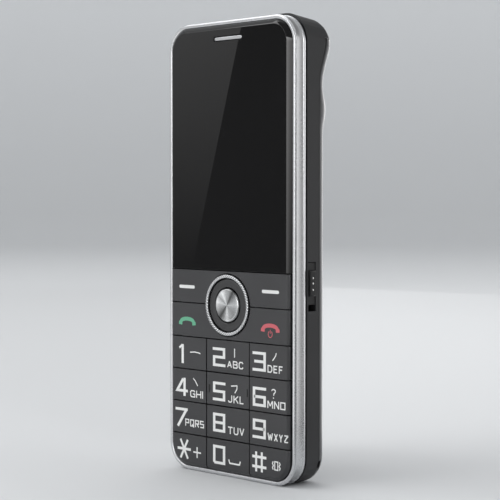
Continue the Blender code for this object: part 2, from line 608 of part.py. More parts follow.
def make_housing():
    housing = shell_form("rear_housing", 0.0, SHELL_FRONT, BODY_THICKNESS, COVER_FILLET)
    join(housing, block("tongue", both_sides(INNER_HALF), (TONGUE_FRONT, SHELL_FRONT + GROOVE_WIDTH),
                        (INNER_LOW, INNER_HIGH), INNER_CORNER, INNER_CORNER))
    cavity_low = INNER_LOW + TONGUE_WALL
    cavity_high = INNER_HIGH - TONGUE_WALL
    cavity_corner = INNER_CORNER - TONGUE_WALL
    cut(housing, block("board cavity", both_sides(CAVITY_HALF), (TONGUE_FRONT - OVERRUN, FLOOR_DEPTH),
                       (cavity_low, cavity_high), cavity_corner, cavity_corner))
    for index, (x, z) in enumerate(SCREW_PLACES):
        join(housing, bore(f"boss {index}", x, z, (TONGUE_FRONT, FLOOR_DEPTH + FLOOR_THICKNESS / 2),
                           BOSS_RADIUS))
    open_back = SHELL_BACK + OVERRUN
    cut(housing,
        block("card pocket", both_sides(POCKET_HALF), (FLOOR_BACK, open_back),
              (SHELL_WALL, SIM_POCKET_TOP), POCKET_CORNER),
        block("battery pocket", both_sides(BATTERY_BAY_HALF), (FLOOR_BACK, open_back),
              (SIM_POCKET_TOP + RIB_THICKNESS, BATTERY_BAY_TOP)),
        block("top pocket", both_sides(POCKET_HALF), (FLOOR_BACK, open_back),
              (TOP_POCKET_LOW, POCKET_TOP), 0.0, SHELL_WALL),
        block("connector notch", both_sides(CONNECTOR_WIDTH / 2 + CLEARANCE), (FLOOR_BACK, open_back),
              (SIM_POCKET_TOP - RIB_THICKNESS, BATTERY_BOTTOM)),
        shell_form("cover space", -GROOVE_WIDTH, COVER_FRONT - SEAM, open_back,
                   top=COVER_TOP + SEAM))
    for index, (x, z) in enumerate(SCREW_PLACES):
        cut(housing, bore(f"screw hole {index}", x, z, (0.0, POCKET_SEAT), SCREW_BORE))
    slot_span = around(SLOT_DEPTH, SLOT_WIDTH)
    stem_x = (CAVITY_HALF - CLEARANCE, SHELL_HALF - SLOT_CUT + CLEARANCE)
    jack_top = JACK_SETBACK + JACK_LENGTH + CLEARANCE
    usb_top = USB_SETBACK + USB_LENGTH + CLEARANCE
    cut(housing,
        block("slider slot", (SHELL_HALF - SLOT_CUT, SHELL_HALF + OVERRUN), slot_span,
              (SLOT_BOTTOM, SLOT_TOP)),
        block("stem window", stem_x, (slot_span[0], slot_span[0] + STEM_WINDOW),
              (SLOT_BOTTOM + SLIDER_SIDE_GAP, SLOT_TOP - SLIDER_SIDE_GAP)),
        block("usb port", both_sides(USB_WIDTH / 2 + CLEARANCE),
              (USB_FRONT - CLEARANCE, USB_FRONT + USB_HEIGHT + CLEARANCE), (-OVERRUN, usb_top)),
        rod("jack bay", at(JACK_X, JACK_DEPTH, JACK_SETBACK - CLEARANCE),
            at(JACK_X, JACK_DEPTH, jack_top), JACK_RADIUS + CLEARANCE),
        rod("jack port", at(JACK_X, JACK_DEPTH, -OVERRUN), at(JACK_X, JACK_DEPTH, JACK_SETBACK),
            JACK_BORE),
        rod("microphone hole", at(MIC_X, MIC_HOLE_DEPTH, -OVERRUN),
            at(MIC_X, MIC_HOLE_DEPTH, MIC_BOTTOM), MIC_HOLE, PLUNGER_SIDES),
        rod("torch bore", at(0.0, TORCH_DEPTH, POCKET_TOP - OVERRUN),
            at(0.0, TORCH_DEPTH, SHELL_TOP + OVERRUN), TORCH_RADIUS + CLEARANCE))
    piece(housing, "dark_housing_plastic")


def make_cover():
    cover = shell_form("rear_cover", 0.0, COVER_FRONT, BODY_THICKNESS, COVER_FILLET, top=COVER_TOP)
    cut(cover, shell_form("cover inside", COVER_SIDE_WALL, COVER_FRONT - OVERRUN, COVER_INNER_DEPTH,
                          COVER_FILLET - COVER_SIDE_WALL, top=COVER_TOP - COVER_SIDE_WALL))
    clip_rows = (POCKET_CORNER + 2 * CLIP_HEIGHT, SIM_POCKET_TOP - CLIP_HEIGHT,
                 TOP_POCKET_LOW + CLEARANCE + CLIP_HEIGHT / 4)
    for row, z in enumerate(clip_rows):
        for side, x_span in (("left", (-CLIP_OUTER, -CLIP_OUTER + CLIP_THICKNESS)),
                             ("right", (CLIP_OUTER - CLIP_THICKNESS, CLIP_OUTER))):
            join(cover, block(f"clip {side} {row}", x_span,
                              (COVER_FRONT - CLIP_REACH, COVER_INNER_DEPTH + COVER_BACK_WALL / 2),
                              around(z, CLIP_HEIGHT / 2)))
    up_to_arc = max(SHELL_CORNER - NAIL_NOTCH_Z, 0.0)
    notch_x = SHELL_HALF - SHELL_CORNER + math.sqrt(SHELL_CORNER ** 2 - up_to_arc ** 2)
    cut(cover, bore("nail notch", notch_x, NAIL_NOTCH_Z,
                    (COVER_FRONT - OVERRUN, COVER_FRONT + NAIL_NOTCH_DEPTH), NAIL_NOTCH_RADIUS))
    cut(cover, bore("camera hole", 0.0, BAND_Z, (COVER_FRONT, SHELL_BACK), WINDOW_RADIUS - WINDOW_LEDGE),
        bore("camera seat", 0.0, BAND_Z, (WINDOW_FRONT - CLEARANCE, SHELL_BACK), WINDOW_RADIUS + CLEARANCE))
    slot_x = (SPEAKER_SPAN[0] + SOUND_SLOT_MARGIN, SPEAKER_SPAN[1] - SOUND_SLOT_MARGIN)
    for index in (-1, 0, 1):
        cut(cover, block(f"sound slot {index}", slot_x, (COVER_FRONT, SHELL_BACK),
                         around(BAND_Z + index * SOUND_SLOT_PITCH, SOUND_SLOT_HEIGHT)))
    piece(cover, "dark_housing_plastic", at(0.0, BODY_THICKNESS, COVER_TOP / 2))
    window = bore("camera_window", 0.0, BAND_Z, (WINDOW_FRONT, WINDOW_FRONT + WINDOW_THICKNESS),
                  WINDOW_RADIUS, ROUND_SIDES)
    piece(window, "black_glass")


# Keypad

def keypad_slab(name):
    """The whole keypad as one slab, with its outer front edges rolled over to the frame."""
    bm = block_mesh(both_sides(KEYPAD_HALF), (0.0, KEY_THICKNESS),
                    (KEYPAD_BOTTOM, KEYPAD_TOP - KEY_GAP / 2), KEY_CORNER)
    front = end_face(bm)
    top_edge = max(front.edges, key=lambda e: e.verts[0].co.z + e.verts[1].co.z)
    round_edges(bm, [e for e in front.edges if e is not top_edge], KEY_ROLL, 2)
    return to_object(name, bm)


def make_key(name, x_span, z_span, beside_ring=False):
    key = keypad_slab(name)
    combine(key, block(name + " cell", x_span, (-OVERRUN, KEY_THICKNESS + OVERRUN), z_span), "INTERSECT")
    if beside_ring:
        cut(key, bore(name + " ring space", 0.0, NAV_Z, (-2 * OVERRUN, KEY_THICKNESS + 2 * OVERRUN),
                      RING_RADIUS + CLEARANCE, ROUND_SIDES))
    middle = at((max(x_span[0], -KEYPAD_HALF) + min(x_span[1], KEYPAD_HALF)) / 2, KEY_BACK, sum(z_span) / 2)
    piece(key, "dark_key_plastic", middle)


def number_key_cells():
    """Name, x span and z span of each key of the number block."""
    far = KEYPAD_HALF + OVERRUN
    columns = [(-far, -COLUMN_LINE - KEY_GAP / 2), both_sides(COLUMN_LINE - KEY_GAP / 2),
               (COLUMN_LINE + KEY_GAP / 2, far)]
    lines = [KEYPAD_BOTTOM - OVERRUN] + ROW_LINES
    rows = [("star", "0", "hash"), ("7", "8", "9"), ("4", "5", "6"), ("1", "2", "3")]
    cells = []
    for row, labels in enumerate(rows):
        z_span = (lines[row] + KEY_GAP / 2, lines[row + 1] - KEY_GAP / 2)
        for x_span, label in zip(columns, labels):
            cells.append(("key_" + label, x_span, z_span))
    return cells


def side_key_cells():
    far = KEYPAD_HALF + OVERRUN
    halves = [("left", (-far, -KEY_GAP / 2)), ("right", (KEY_GAP / 2, far))]
    soft_z = (NAV_Z + KEY_GAP / 2, KEYPAD_TOP + OVERRUN)
    call_z = (CALL_LINE + KEY_GAP / 2, NAV_Z - KEY_GAP / 2)
    cells = [("key_soft_" + side, x_span, soft_z) for side, x_span in halves]
    cells += [(name, x_span, call_z) for name, (_, x_span) in zip(("key_call", "key_end"), halves)]
    return cells


def make_keys():
    for name, x_span, z_span in number_key_cells():
        make_key(name, x_span, z_span)
    for name, x_span, z_span in side_key_cells():
        make_key(name, x_span, z_span, beside_ring=True)


def make_navigation():
    edge = RING_PROUD / 2
    ring = turned("nav_ring", 0.0, NAV_Z, [
        (RING_INNER, MAT_FRONT - RING_BACK_GAP), (RING_RADIUS, MAT_FRONT - RING_BACK_GAP),
        (RING_RADIUS, edge), (RING_RADIUS - RING_WALL / 4, -RING_PROUD),
        (RING_INNER + RING_WALL / 4, -RING_PROUD), (RING_INNER, edge)])
    piece(ring, "brushed_silver")
    rocker = turned("nav_rocker", 0.0, NAV_Z, [
        (ROCKER_HOLE, ROCKER_BACK), (ROCKER_RADIUS, ROCKER_BACK), (ROCKER_RADIUS, ROCKER_PROUD),
        (ROCKER_RADIUS - ROCKER_PROUD, -ROCKER_PROUD), (ROCKER_HOLE, ROCKER_PROUD)])
    axis_point = at(0.0, PIVOT_FRONT, NAV_Z)
    piece(rocker, "dark_key_plastic", axis_point)
    pivot = turned("nav_pivot", 0.0, NAV_Z, [
        (ROCKER_HOLE, PIVOT_FRONT), (ROCKER_HOLE, PIVOT_FRONT + PIVOT_THICKNESS),
        (ROCKER_HOLE + PIVOT_WALL, PIVOT_FRONT + PIVOT_THICKNESS),
        (ROCKER_HOLE + PIVOT_WALL, PIVOT_FRONT)])
    piece(pivot, "tinned_steel", axis_point)
    bm = bmesh.new()
    bmesh.ops.create_cone(bm, cap_ends=True, segments=ROUND_SIDES, radius1=BUTTON_RADIUS,
                          radius2=BUTTON_RADIUS, depth=KEY_BACK + BUTTON_PROUD)
    round_edges(bm, [e for e in bm.edges if min(v.co.z for v in e.verts) > 0], BUTTON_EDGE, 1)
    middle = at(0.0, (KEY_BACK - BUTTON_PROUD) / 2, NAV_Z)
    bm.transform(Matrix.Translation(middle) @ Matrix.Rotation(math.pi / 2, 4, "X"))
    piece(to_object("ok_button", bm), "brushed_silver", at(0.0, KEY_BACK, NAV_Z))


def contact_places():
    """The middle of each key, and the five contacts under the navigation key."""
    places = []
    for _, x_span, z_span in number_key_cells():
        x = (max(x_span[0], -KEYPAD_HALF) + min(x_span[1], KEYPAD_HALF)) / 2
        z = (max(z_span[0], KEYPAD_BOTTOM) + z_span[1]) / 2
        places.append((x, max(z, MAT_LOW + 2 * DOME_RADIUS)))
    side_x = (RING_RADIUS + KEYPAD_HALF) / 2
    for z in ((NAV_Z + KEYPAD_TOP) / 2, (NAV_Z + CALL_LINE) / 2):
        places += [(-side_x, z), (side_x, z)]
    reach = (ROCKER_HOLE + ROCKER_RADIUS) / 2
    places += [(0.0, NAV_Z), (reach, NAV_Z), (-reach, NAV_Z), (0.0, NAV_Z + reach), (0.0, NAV_Z - reach)]
    return places


# Pieces behind the keys and the glass

def mat_corner():
    return corner_past_screw(MAT_HALF, MAT_LOW, SCREW_BORE + SCREW_WALL + CLEARANCE)


def make_mat_and_sheet():
    mat = block("keypad_mat", both_sides(MAT_HALF), (MAT_FRONT, MAT_BACK),
                (MAT_LOW, MAT_TOP), mat_corner())
    sheet = block("dome_sheet", both_sides(MAT_HALF), (SHEET_FRONT, SHEET_FRONT + DOME_SHEET_THICKNESS),
                  (MAT_LOW, MAT_TOP), mat_corner())
    for index, (x, z) in enumerate(contact_places()):
        join(mat, bore(f"plunger {index}", x, z, (MAT_BACK - MAT_THICKNESS / 2, PLUNGER_TIP),
                       PLUNGER_RADIUS, PLUNGER_SIDES))
        dome_back = SHEET_FRONT + DOME_SHEET_THICKNESS / 2
        join(sheet, rod(f"dome {index}", at(x, dome_back, z), at(x, SHEET_FRONT - DOME_HEIGHT, z),
                        DOME_RADIUS, PLUNGER_SIDES, DOME_RADIUS / 2))
    piece(mat, "grey_silicone")
    piece(sheet, "clear_sheet")


def make_chassis():
    chassis = block("front_chassis", both_sides(INNER_HALF), (CHASSIS_FRONT, CHASSIS_BACK_DEPTH),
                    (INNER_LOW, INNER_HIGH), INNER_CORNER, INNER_CORNER)
    cut(chassis,
        block("key space", both_sides(BODY_WIDTH), (-OVERRUN, MAT_FRONT),
              (-OVERRUN, KEYPAD_TOP + KEY_GAP)),
        block("mat pocket", both_sides(MAT_HALF + CLEARANCE), (CHASSIS_FRONT, FLOOR_DEPTH),
              (MAT_LOW - CLEARANCE, MAT_TOP + CLEARANCE), mat_corner() + CLEARANCE),
        block("display bay", both_sides(DISPLAY_BAY_HALF), (-OVERRUN, FLOOR_DEPTH),
              (DISPLAY_BAY_BOTTOM, DISPLAY_BAY_TOP)),
        block("earpiece bay", both_sides(EARPIECE_WIDTH / 2 + CLEARANCE), (-OVERRUN, FLOOR_DEPTH),
              around(EAR_Z, EARPIECE_HEIGHT + 2 * CLEARANCE)))
    for index, (x, z) in enumerate(SCREW_PLACES):
        cut(chassis, bore(f"thread {index}", x, z, (SCREW_TIP_DEPTH - CLEARANCE, FLOOR_DEPTH), SCREW_BORE))
    piece(chassis, "black_plastic")


def make_screws():
    labels = ("low_left", "low_right", "high_left", "high_right")
    head = POCKET_SEAT
    for label, (x, z) in zip(labels, SCREW_PLACES):
        screw = turned("case_screw_" + label, x, z, [
            (0.0, SCREW_TIP_DEPTH), (SCREW_RADIUS, SCREW_TIP_DEPTH), (SCREW_RADIUS, head),
            (SCREW_HEAD_RADIUS, head), (SCREW_HEAD_RADIUS, head + SCREW_HEAD_HEIGHT),
            (0.0, head + SCREW_HEAD_HEIGHT)], BORE_SIDES)
        piece(screw, "tinned_steel")


def make_display():
    display = block("display_module", both_sides(DISPLAY_BAY_HALF - CLEARANCE),
                    (CHASSIS_FRONT, DISPLAY_BACK), (DISPLAY_BOTTOM, DISPLAY_TOP))
    piece(display, "black_glass")
    flex_back = CHASSIS_BACK_DEPTH
    flex = block("display_flex", both_sides(FLEX_WIDTH / 2), (flex_back - FLEX_THICKNESS, flex_back),
                 (DISPLAY_BOTTOM - CLEARANCE - FLEX_HEIGHT, DISPLAY_BOTTOM - CLEARANCE))
    piece(flex, "flex_amber")
    ear_front = CHASSIS_FRONT
    ear = block("earpiece", both_sides(EARPIECE_WIDTH / 2), (ear_front, ear_front + EARPIECE_THICKNESS),
                around(EAR_Z, EARPIECE_HEIGHT))
    piece(ear, "tinned_steel")


def make_board():
    board = block("main_board", both_sides(BOARD_HALF), (BOARD_FRONT, BOARD_BACK),
                  (BOARD_LOW, BOARD_TOP),
                  corner_past_screw(BOARD_HALF, BOARD_LOW, BOSS_RADIUS + BOSS_GAP), BOARD_HIGH_CORNER)
    piece(board, "board_green")
    parts_span = (PARTS_FRONT, PARTS_BACK)
    radio_left = RADIO_CAN_INSET - BOARD_HALF
    radio = block("shield_can_radio", (radio_left, radio_left + RADIO_CAN_WIDTH), parts_span,
                  (RADIO_CAN_BOTTOM, RADIO_CAN_BOTTOM + RADIO_CAN_HEIGHT))
    piece(radio, "tinned_steel")
    power_right = BOARD_HALF - POWER_CAN_INSET
    power = block("shield_can_power", (power_right - POWER_CAN_WIDTH, power_right), parts_span,
                  (POWER_CAN_BOTTOM, POWER_CAN_BOTTOM + POWER_CAN_HEIGHT))
    piece(power, "tinned_steel")
    antenna_top = BODY_HEIGHT - ANTENNA_BELOW_TOP
    antenna = block("antenna", both_sides(ANTENNA_HALF), parts_span,
                    (antenna_top - ANTENNA_HEIGHT, antenna_top))
    piece(antenna, "flex_amber")
    mic = bore("microphone", MIC_X, MIC_BOTTOM + MIC_RADIUS, parts_span, MIC_RADIUS)
    piece(mic, "tinned_steel")


def make_ports():
    usb_depth = (USB_FRONT, USB_FRONT + USB_HEIGHT)
    usb = block("usb_socket", both_sides(USB_WIDTH / 2), usb_depth, (USB_SETBACK, USB_SETBACK + USB_LENGTH))
    cut(usb, block("usb mouth", both_sides(USB_WIDTH / 2 - USB_WALL),
                   (usb_depth[0] + USB_WALL, usb_depth[1] - USB_WALL),
                   (-OVERRUN, USB_SETBACK + USB_LENGTH - USB_WALL)))
    tongue_back = usb_depth[1] - USB_WALL - USB_TONGUE / 2
    join(usb, block("usb tongue", both_sides(USB_WIDTH / 4), (tongue_back - USB_TONGUE, tongue_back),
                    (USB_SETBACK + USB_WALL, USB_SETBACK + USB_LENGTH - USB_WALL / 2)))
    piece(usb, "tinned_steel")
    jack_top = JACK_SETBACK + JACK_LENGTH
    jack = rod("audio_jack", at(JACK_X, JACK_DEPTH, JACK_SETBACK), at(JACK_X, JACK_DEPTH, jack_top),
               JACK_RADIUS)
    cut(jack, rod("jack bore", at(JACK_X, JACK_DEPTH, -OVERRUN),
                  at(JACK_X, JACK_DEPTH, jack_top - USB_WALL), JACK_BORE))
    piece(jack, "black_plastic")


# Pieces in the rear pockets

def make_battery_and_cards():
    battery = block("battery", both_sides(BATTERY_HALF), (POCKET_SEAT, BATTERY_BACK),
                    (BATTERY_BOTTOM, BATTERY_TOP))
    piece(battery, "battery_wrap")
    connector_top = BATTERY_BOTTOM - CLEARANCE
    connector = block("battery_connector", both_sides(CONNECTOR_WIDTH / 2),
                      (POCKET_SEAT, BATTERY_BACK - CONNECTOR_SETBACK),
                      (connector_top - CONNECTOR_HEIGHT, connector_top))
    piece(connector, "black_plastic")
    holder_depth = (POCKET_SEAT, POCKET_SEAT + SIM_HOLDER_THICKNESS)
    middle = (SIM_INNER + SIM_OUTER) / 2
    width = SIM_OUTER - SIM_INNER
    card_front = POCKET_SEAT + SIM_HOLDER_WALL + CLEARANCE / 2
    card_depth = (card_front, card_front + SIM_CARD_THICKNESS)
    for label, side in (("left", -1), ("right", 1)):
        holder = block("sim_holder_" + label, around(side * middle, width), holder_depth,
                       (SIM_BOTTOM, SIM_TOP))
        cut(holder, block(f"sim slot {label}", around(side * middle, width - 2 * SIM_HOLDER_WALL),
                          (holder_depth[0] + SIM_HOLDER_WALL, holder_depth[1] - SIM_HOLDER_WALL),
                          (0.0, SIM_TOP - SIM_HOLDER_WALL)))
        piece(holder, "tinned_steel")
        card = block("sim_card_" + label,
                     around(side * middle, width - 2 * SIM_HOLDER_WALL - 2 * CLEARANCE), card_depth,
                     (SIM_BOTTOM + CLEARANCE, SIM_TOP - SIM_HOLDER_WALL - CLEARANCE))
        piece(card, "card_white")
    memory_top = SIM_TOP - MEMORY_HOLDER_DROP
    memory = block("memory_card_holder", both_sides(MEMORY_HOLDER_WIDTH / 2),
                   (POCKET_SEAT, POCKET_SEAT + MEMORY_HOLDER_THICKNESS), (SIM_BOTTOM, memory_top))
    cut(memory, block("memory slot", both_sides(MEMORY_HOLDER_WIDTH / 2 - SIM_HOLDER_WALL),
                      (POCKET_SEAT + SIM_HOLDER_WALL, POCKET_SEAT + MEMORY_HOLDER_THICKNESS - SIM_HOLDER_WALL),
                      (0.0, memory_top - SIM_HOLDER_WALL)))
    piece(memory, "tinned_steel")


def make_top_pocket():
    camera = block("camera_module", both_sides(CAMERA_SIZE / 2), (POCKET_SEAT, CAMERA_BACK),
                   around(BAND_Z, CAMERA_SIZE))
    join(camera, bore("camera barrel", 0.0, BAND_Z, (CAMERA_BACK - CAMERA_BARREL_LENGTH, CAMERA_TIP),
                      CAMERA_BARREL_RADIUS))
    piece(camera, "black_plastic")
    speaker = block("loudspeaker", SPEAKER_SPAN, (POCKET_SEAT, SPEAKER_BACK),
                    around(BAND_Z, SPEAKER_HEIGHT))
    piece(speaker, "black_plastic")
    mesh = block("speaker_mesh", (SPEAKER_SPAN[0] + CLEARANCE, SPEAKER_SPAN[1] - CLEARANCE),
                 (MESH_FRONT, MESH_FRONT + MESH_THICKNESS), around(BAND_Z, SPEAKER_HEIGHT - 2 * CLEARANCE))
    piece(mesh, "tinned_steel")
    motor = rod("vibration_motor", at(MOTOR_LEFT, MOTOR_DEPTH, MOTOR_Z),
                at(MOTOR_RIGHT, MOTOR_DEPTH, MOTOR_Z), MOTOR_RADIUS)
    join(motor, rod("motor shaft", at(MOTOR_RIGHT - OVERRUN, MOTOR_DEPTH, MOTOR_Z),
                    at(MOTOR_RIGHT + SHAFT_OUT, MOTOR_DEPTH, MOTOR_Z), SHAFT_RADIUS, PLUNGER_SIDES))
    piece(motor, "tinned_steel")
    weight_left = MOTOR_RIGHT + CLEARANCE
    weight = rod("vibration_weight", at(weight_left, MOTOR_DEPTH, MOTOR_Z),
                 at(weight_left + WEIGHT_LENGTH, MOTOR_DEPTH, MOTOR_Z), WEIGHT_RADIUS)
    cut(weight,
        block("weight cutaway", (weight_left - OVERRUN, weight_left + WEIGHT_LENGTH + OVERRUN),
              around(MOTOR_DEPTH, 4 * WEIGHT_RADIUS),
              (MOTOR_Z + WEIGHT_RADIUS * (1 - MOTOR_FLAT_SHARE), MOTOR_Z + 2 * WEIGHT_RADIUS)),
        rod("weight bore", at(weight_left - OVERRUN, MOTOR_DEPTH, MOTOR_Z),
            at(weight_left + WEIGHT_LENGTH + OVERRUN, MOTOR_DEPTH, MOTOR_Z),
            SHAFT_RADIUS + CLEARANCE / 4, BORE_SIDES))
    piece(weight, "brushed_silver", at(weight_left, MOTOR_DEPTH, MOTOR_Z))


def make_torch():
    lens_top = SHELL_TOP - TORCH_RECESS
    lens_low = lens_top - TORCH_LENS_LENGTH
    lens = rod("torch_lens", at(0.0, TORCH_DEPTH, lens_low), at(0.0, TORCH_DEPTH, lens_top),
               TORCH_RADIUS, BORE_SIDES)
    piece(lens, "clear_lens")
    led_top = lens_low - CLEARANCE
    led = rod("torch_led", at(0.0, TORCH_DEPTH, led_top - LED_LENGTH), at(0.0, TORCH_DEPTH, led_top),
              TORCH_RADIUS - CLEARANCE / 3, BORE_SIDES)
    piece(led, "led_yellow")


def make_slider():
    slot_front = SLOT_DEPTH - SLOT_WIDTH / 2
    body_span = around(SLOT_DEPTH, SLOT_WIDTH - 2 * CLEARANCE)
    slider = block("torch_slider", (SLIDER_INNER, SHELL_HALF - SLIDER_SIDE_GAP), body_span,
                   (SLIDER_BOTTOM, SLIDER_TOP))
    grip_top = SLIDER_TOP - GRIP_BELOW_TOP
    grip_mesh = block_mesh((SHELL_HALF - SLIDER_THICKNESS, SHELL_HALF + GRIP_RISE),
                           around(SLOT_DEPTH, GRIP_WIDTH), (grip_top - GRIP_HEIGHT, grip_top))
    outer = max(grip_mesh.faces, key=lambda f: f.calc_center_median().x)
    round_edges(grip_mesh, outer.edges, GRIP_RISE / 2, 2)
    grip = to_object("grip", grip_mesh)
    stem_front = slot_front + SLIDER_SIDE_GAP
    stem_z = around(SLIDER_Z, STEM_HEIGHT)
    stem = block("stem", (STEM_TIP, SLIDER_INNER + SLIDER_THICKNESS / 2),
                 (stem_front, stem_front + STEM_THICKNESS), stem_z)
    join(slider, grip, stem)
    piece(slider, "dark_housing_plastic", at(SHELL_HALF, SLOT_DEPTH, SLIDER_Z))
    switch_right = STEM_TIP - CLEARANCE
    switch = block("torch_switch", (switch_right - SWITCH_WIDTH, switch_right), (PARTS_FRONT, PARTS_BACK),
                   around(SLIDER_Z, SWITCH_HEIGHT))
    piece(switch, "tinned_steel")


clear_scene()
make_frame()
make_front_lens()
make_housing()
make_cover()
make_keys()
make_navigation()
make_mat_and_sheet()
make_chassis()
make_screws()
make_display()
make_board()
make_ports()
make_battery_and_cards()
make_top_pocket()
make_torch()
make_slider()
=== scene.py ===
# Big button mobile phone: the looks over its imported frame
import math
from functools import partial
import bmesh
import bpy
from mathutils import Matrix, Vector


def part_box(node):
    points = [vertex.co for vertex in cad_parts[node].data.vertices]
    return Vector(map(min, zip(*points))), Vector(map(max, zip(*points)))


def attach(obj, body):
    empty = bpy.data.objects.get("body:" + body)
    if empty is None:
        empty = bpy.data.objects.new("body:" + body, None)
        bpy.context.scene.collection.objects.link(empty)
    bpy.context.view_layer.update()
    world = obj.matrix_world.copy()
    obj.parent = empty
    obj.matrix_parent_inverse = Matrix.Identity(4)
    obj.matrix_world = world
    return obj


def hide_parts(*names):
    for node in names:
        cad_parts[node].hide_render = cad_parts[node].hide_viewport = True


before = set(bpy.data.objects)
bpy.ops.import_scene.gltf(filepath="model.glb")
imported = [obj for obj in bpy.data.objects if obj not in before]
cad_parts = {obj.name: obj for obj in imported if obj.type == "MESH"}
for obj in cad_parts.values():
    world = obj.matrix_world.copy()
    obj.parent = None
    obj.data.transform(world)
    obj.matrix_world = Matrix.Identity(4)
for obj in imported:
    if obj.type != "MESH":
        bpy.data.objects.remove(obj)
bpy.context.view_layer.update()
scene = bpy.context.scene
ops = bmesh.ops

mm = 0.001
faceY = -8.375 * mm    # the plane of the glass and the key faces


# Small helpers: places, meshes, colours and nodes

def at(x, depth, z):    # mm across, behind the face and above the floor
    return Vector((x * mm, faceY + depth * mm, z * mm))


def around(middle, half):
    return middle - half, middle + half


def linked(name, data):
    made = bpy.data.objects.new(name, data)
    scene.collection.objects.link(made)
    return made


def toObject(name, bm, turnOut=True):
    if turnOut:
        ops.recalc_face_normals(bm, faces=bm.faces[:])
    mesh = bpy.data.meshes.new(name)
    bm.to_mesh(mesh)
    bm.free()
    return linked(name, mesh)


def bakeModifiers(obj):    # the shaped mesh takes the place of the plain one
    bpy.context.view_layer.update()
    shaped = obj.evaluated_get(bpy.context.evaluated_depsgraph_get())
    mesh = bpy.data.meshes.new_from_object(shaped)
    obj.modifiers.clear()
    obj.data = mesh
    return obj


def carve(obj, *cutters):
    for cutter in cutters:
        step = obj.modifiers.new("cut", "BOOLEAN")
        step.operation = "DIFFERENCE"
        step.solver = "EXACT"
        step.object = cutter
    bakeModifiers(obj)
    for cutter in cutters:
        bpy.data.objects.remove(cutter)
    return obj


def bevelEdges(bm, edges, width, steps):
    ops.bevel(bm, geom=list(edges), offset=width * mm, offset_type="OFFSET", affect="EDGES",
                    segments=steps, profile=0.5, material=-1, clamp_overlap=True)


def plate(xSpan, depthSpan, zSpan, lowCorner=0.0, highCorner=0.0, steps=14):
    # a slab whose low and high pair of corners are rounded apart
    low, high = at(xSpan[0], depthSpan[0], zSpan[0]), at(xSpan[1], depthSpan[1], zSpan[1])
    bm = bmesh.new()
    ops.create_cube(bm, size=1.0)
    ops.scale(bm, vec=high - low, verts=bm.verts)
    ops.translate(bm, vec=(high + low) / 2, verts=bm.verts)
    middle = (low.z + high.z) / 2
    for radius, isLow in ((lowCorner, True), (highCorner, False)):
        if radius > 0:
            run = [e for e in bm.edges if (e.verts[0].co - e.verts[1].co).xz.length < 0.001 * mm
                   and (e.verts[0].co.z < middle) == isLow]
            bevelEdges(bm, run, radius, steps)
    return bm


def frontFace(bm):
    flat = [f for f in bm.faces if abs(f.normal.y) > 0.99]
    return min(flat, key=lambda f: f.calc_center_median().y)


def insetRings(bm, face, steps):    # ever smaller rings inside a face, each so many mm further in
    for step in steps:
        ops.inset_region(bm, faces=[face], thickness=step * mm, use_even_offset=True)


def reshape(obj, *changes):
    bm = bmesh.new()
    bm.from_mesh(obj.data)
    for change in changes:
        change(bm)
    bm.to_mesh(obj.data)
    bm.free()


def inwards(side, end, corner):    # how far inside a rounded outline a point lies, from its two near sides
    if side < corner and end < corner:
        return corner - math.hypot(corner - side, corner - end)
    return min(side, end)


def stood(bm, turn, axis, place):    # a spun shape turned sideways or upwards, then put in place
    ops.translate(bm, vec=(0, -faceY, 0), verts=bm.verts)
    ops.rotate(bm, cent=(0, 0, 0), matrix=Matrix.Rotation(turn, 3, axis), verts=bm.verts)
    ops.translate(bm, vec=place, verts=bm.verts)
    return bm


def spun(profile, z, steps, closed=False):
    # a profile of (radius, depth) turned about an axis that runs front to back
    bm = bmesh.new()
    points = [bm.verts.new(at(radius, depth, z)) for radius, depth in profile]
    pairs = list(zip(points, points[1:])) + ([(points[-1], points[0])] if closed else [])
    edges = [bm.edges.new(pair) for pair in pairs]
    ops.spin(bm, geom=points + edges, cent=at(0, 0, z), axis=(0, 1, 0),
                   angle=2 * math.pi, steps=steps, use_merge=True)
    ops.remove_doubles(bm, verts=bm.verts, dist=0.002 * mm)
    return bm


def swept(profile, half, low, high, radius, steps):
    # a profile of (outwards, depth) run round a rounded outline by turns and straight pulls
    bm = bmesh.new()
    points = [bm.verts.new(at(half - radius, depth, low - out)) for out, depth in profile]
    run = [bm.edges.new(pair) for pair in zip(points, points[1:] + points[:1])]
    wide, tall = 2 * (half - radius), high - low - 2 * radius
    corners = ((half - radius, low + radius, (0, tall)), (half - radius, high - radius, (-wide, 0)),
               (radius - half, high - radius, (0, -tall)), (radius - half, low + radius, (wide, 0)))
    for x, z, pull in corners:
        turn = ops.spin(bm, geom=points + run, cent=at(x, 0, z), axis=(0, 1, 0),
                              angle=-math.pi / 2, steps=steps)
        run = [g for g in turn["geom_last"] if isinstance(g, bmesh.types.BMEdge)]
        made = ops.extrude_edge_only(bm, edges=run)["geom"]
        points = [g for g in made if isinstance(g, bmesh.types.BMVert)]
        run = [g for g in made if isinstance(g, bmesh.types.BMEdge)
               and all(v in points for v in g.verts)]
        ops.translate(bm, vec=(pull[0] * mm, 0, pull[1] * mm), verts=points)
    ops.remove_doubles(bm, verts=bm.verts, dist=0.002 * mm)
    return bm


def softened(obj, angle=40):    # even shading on flats beside small bevels
    obj.data.shade_smooth()
    obj.data.set_sharp_from_angle(angle=math.radians(angle))
    step = obj.modifiers.new("even shading", "WEIGHTED_NORMAL")
    step.keep_sharp = True
    return obj


def turned(name, profile, z, steps, angle=40, closed=False):
    return softened(toObject(name, spun(profile, z, steps, closed)), angle)


def dress(obj, body, material, slotName, *nodes):
    obj.data.materials.clear()
    obj.data.materials.append(material)
    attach(obj, body)
    if nodes:
        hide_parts(*nodes)
    return obj


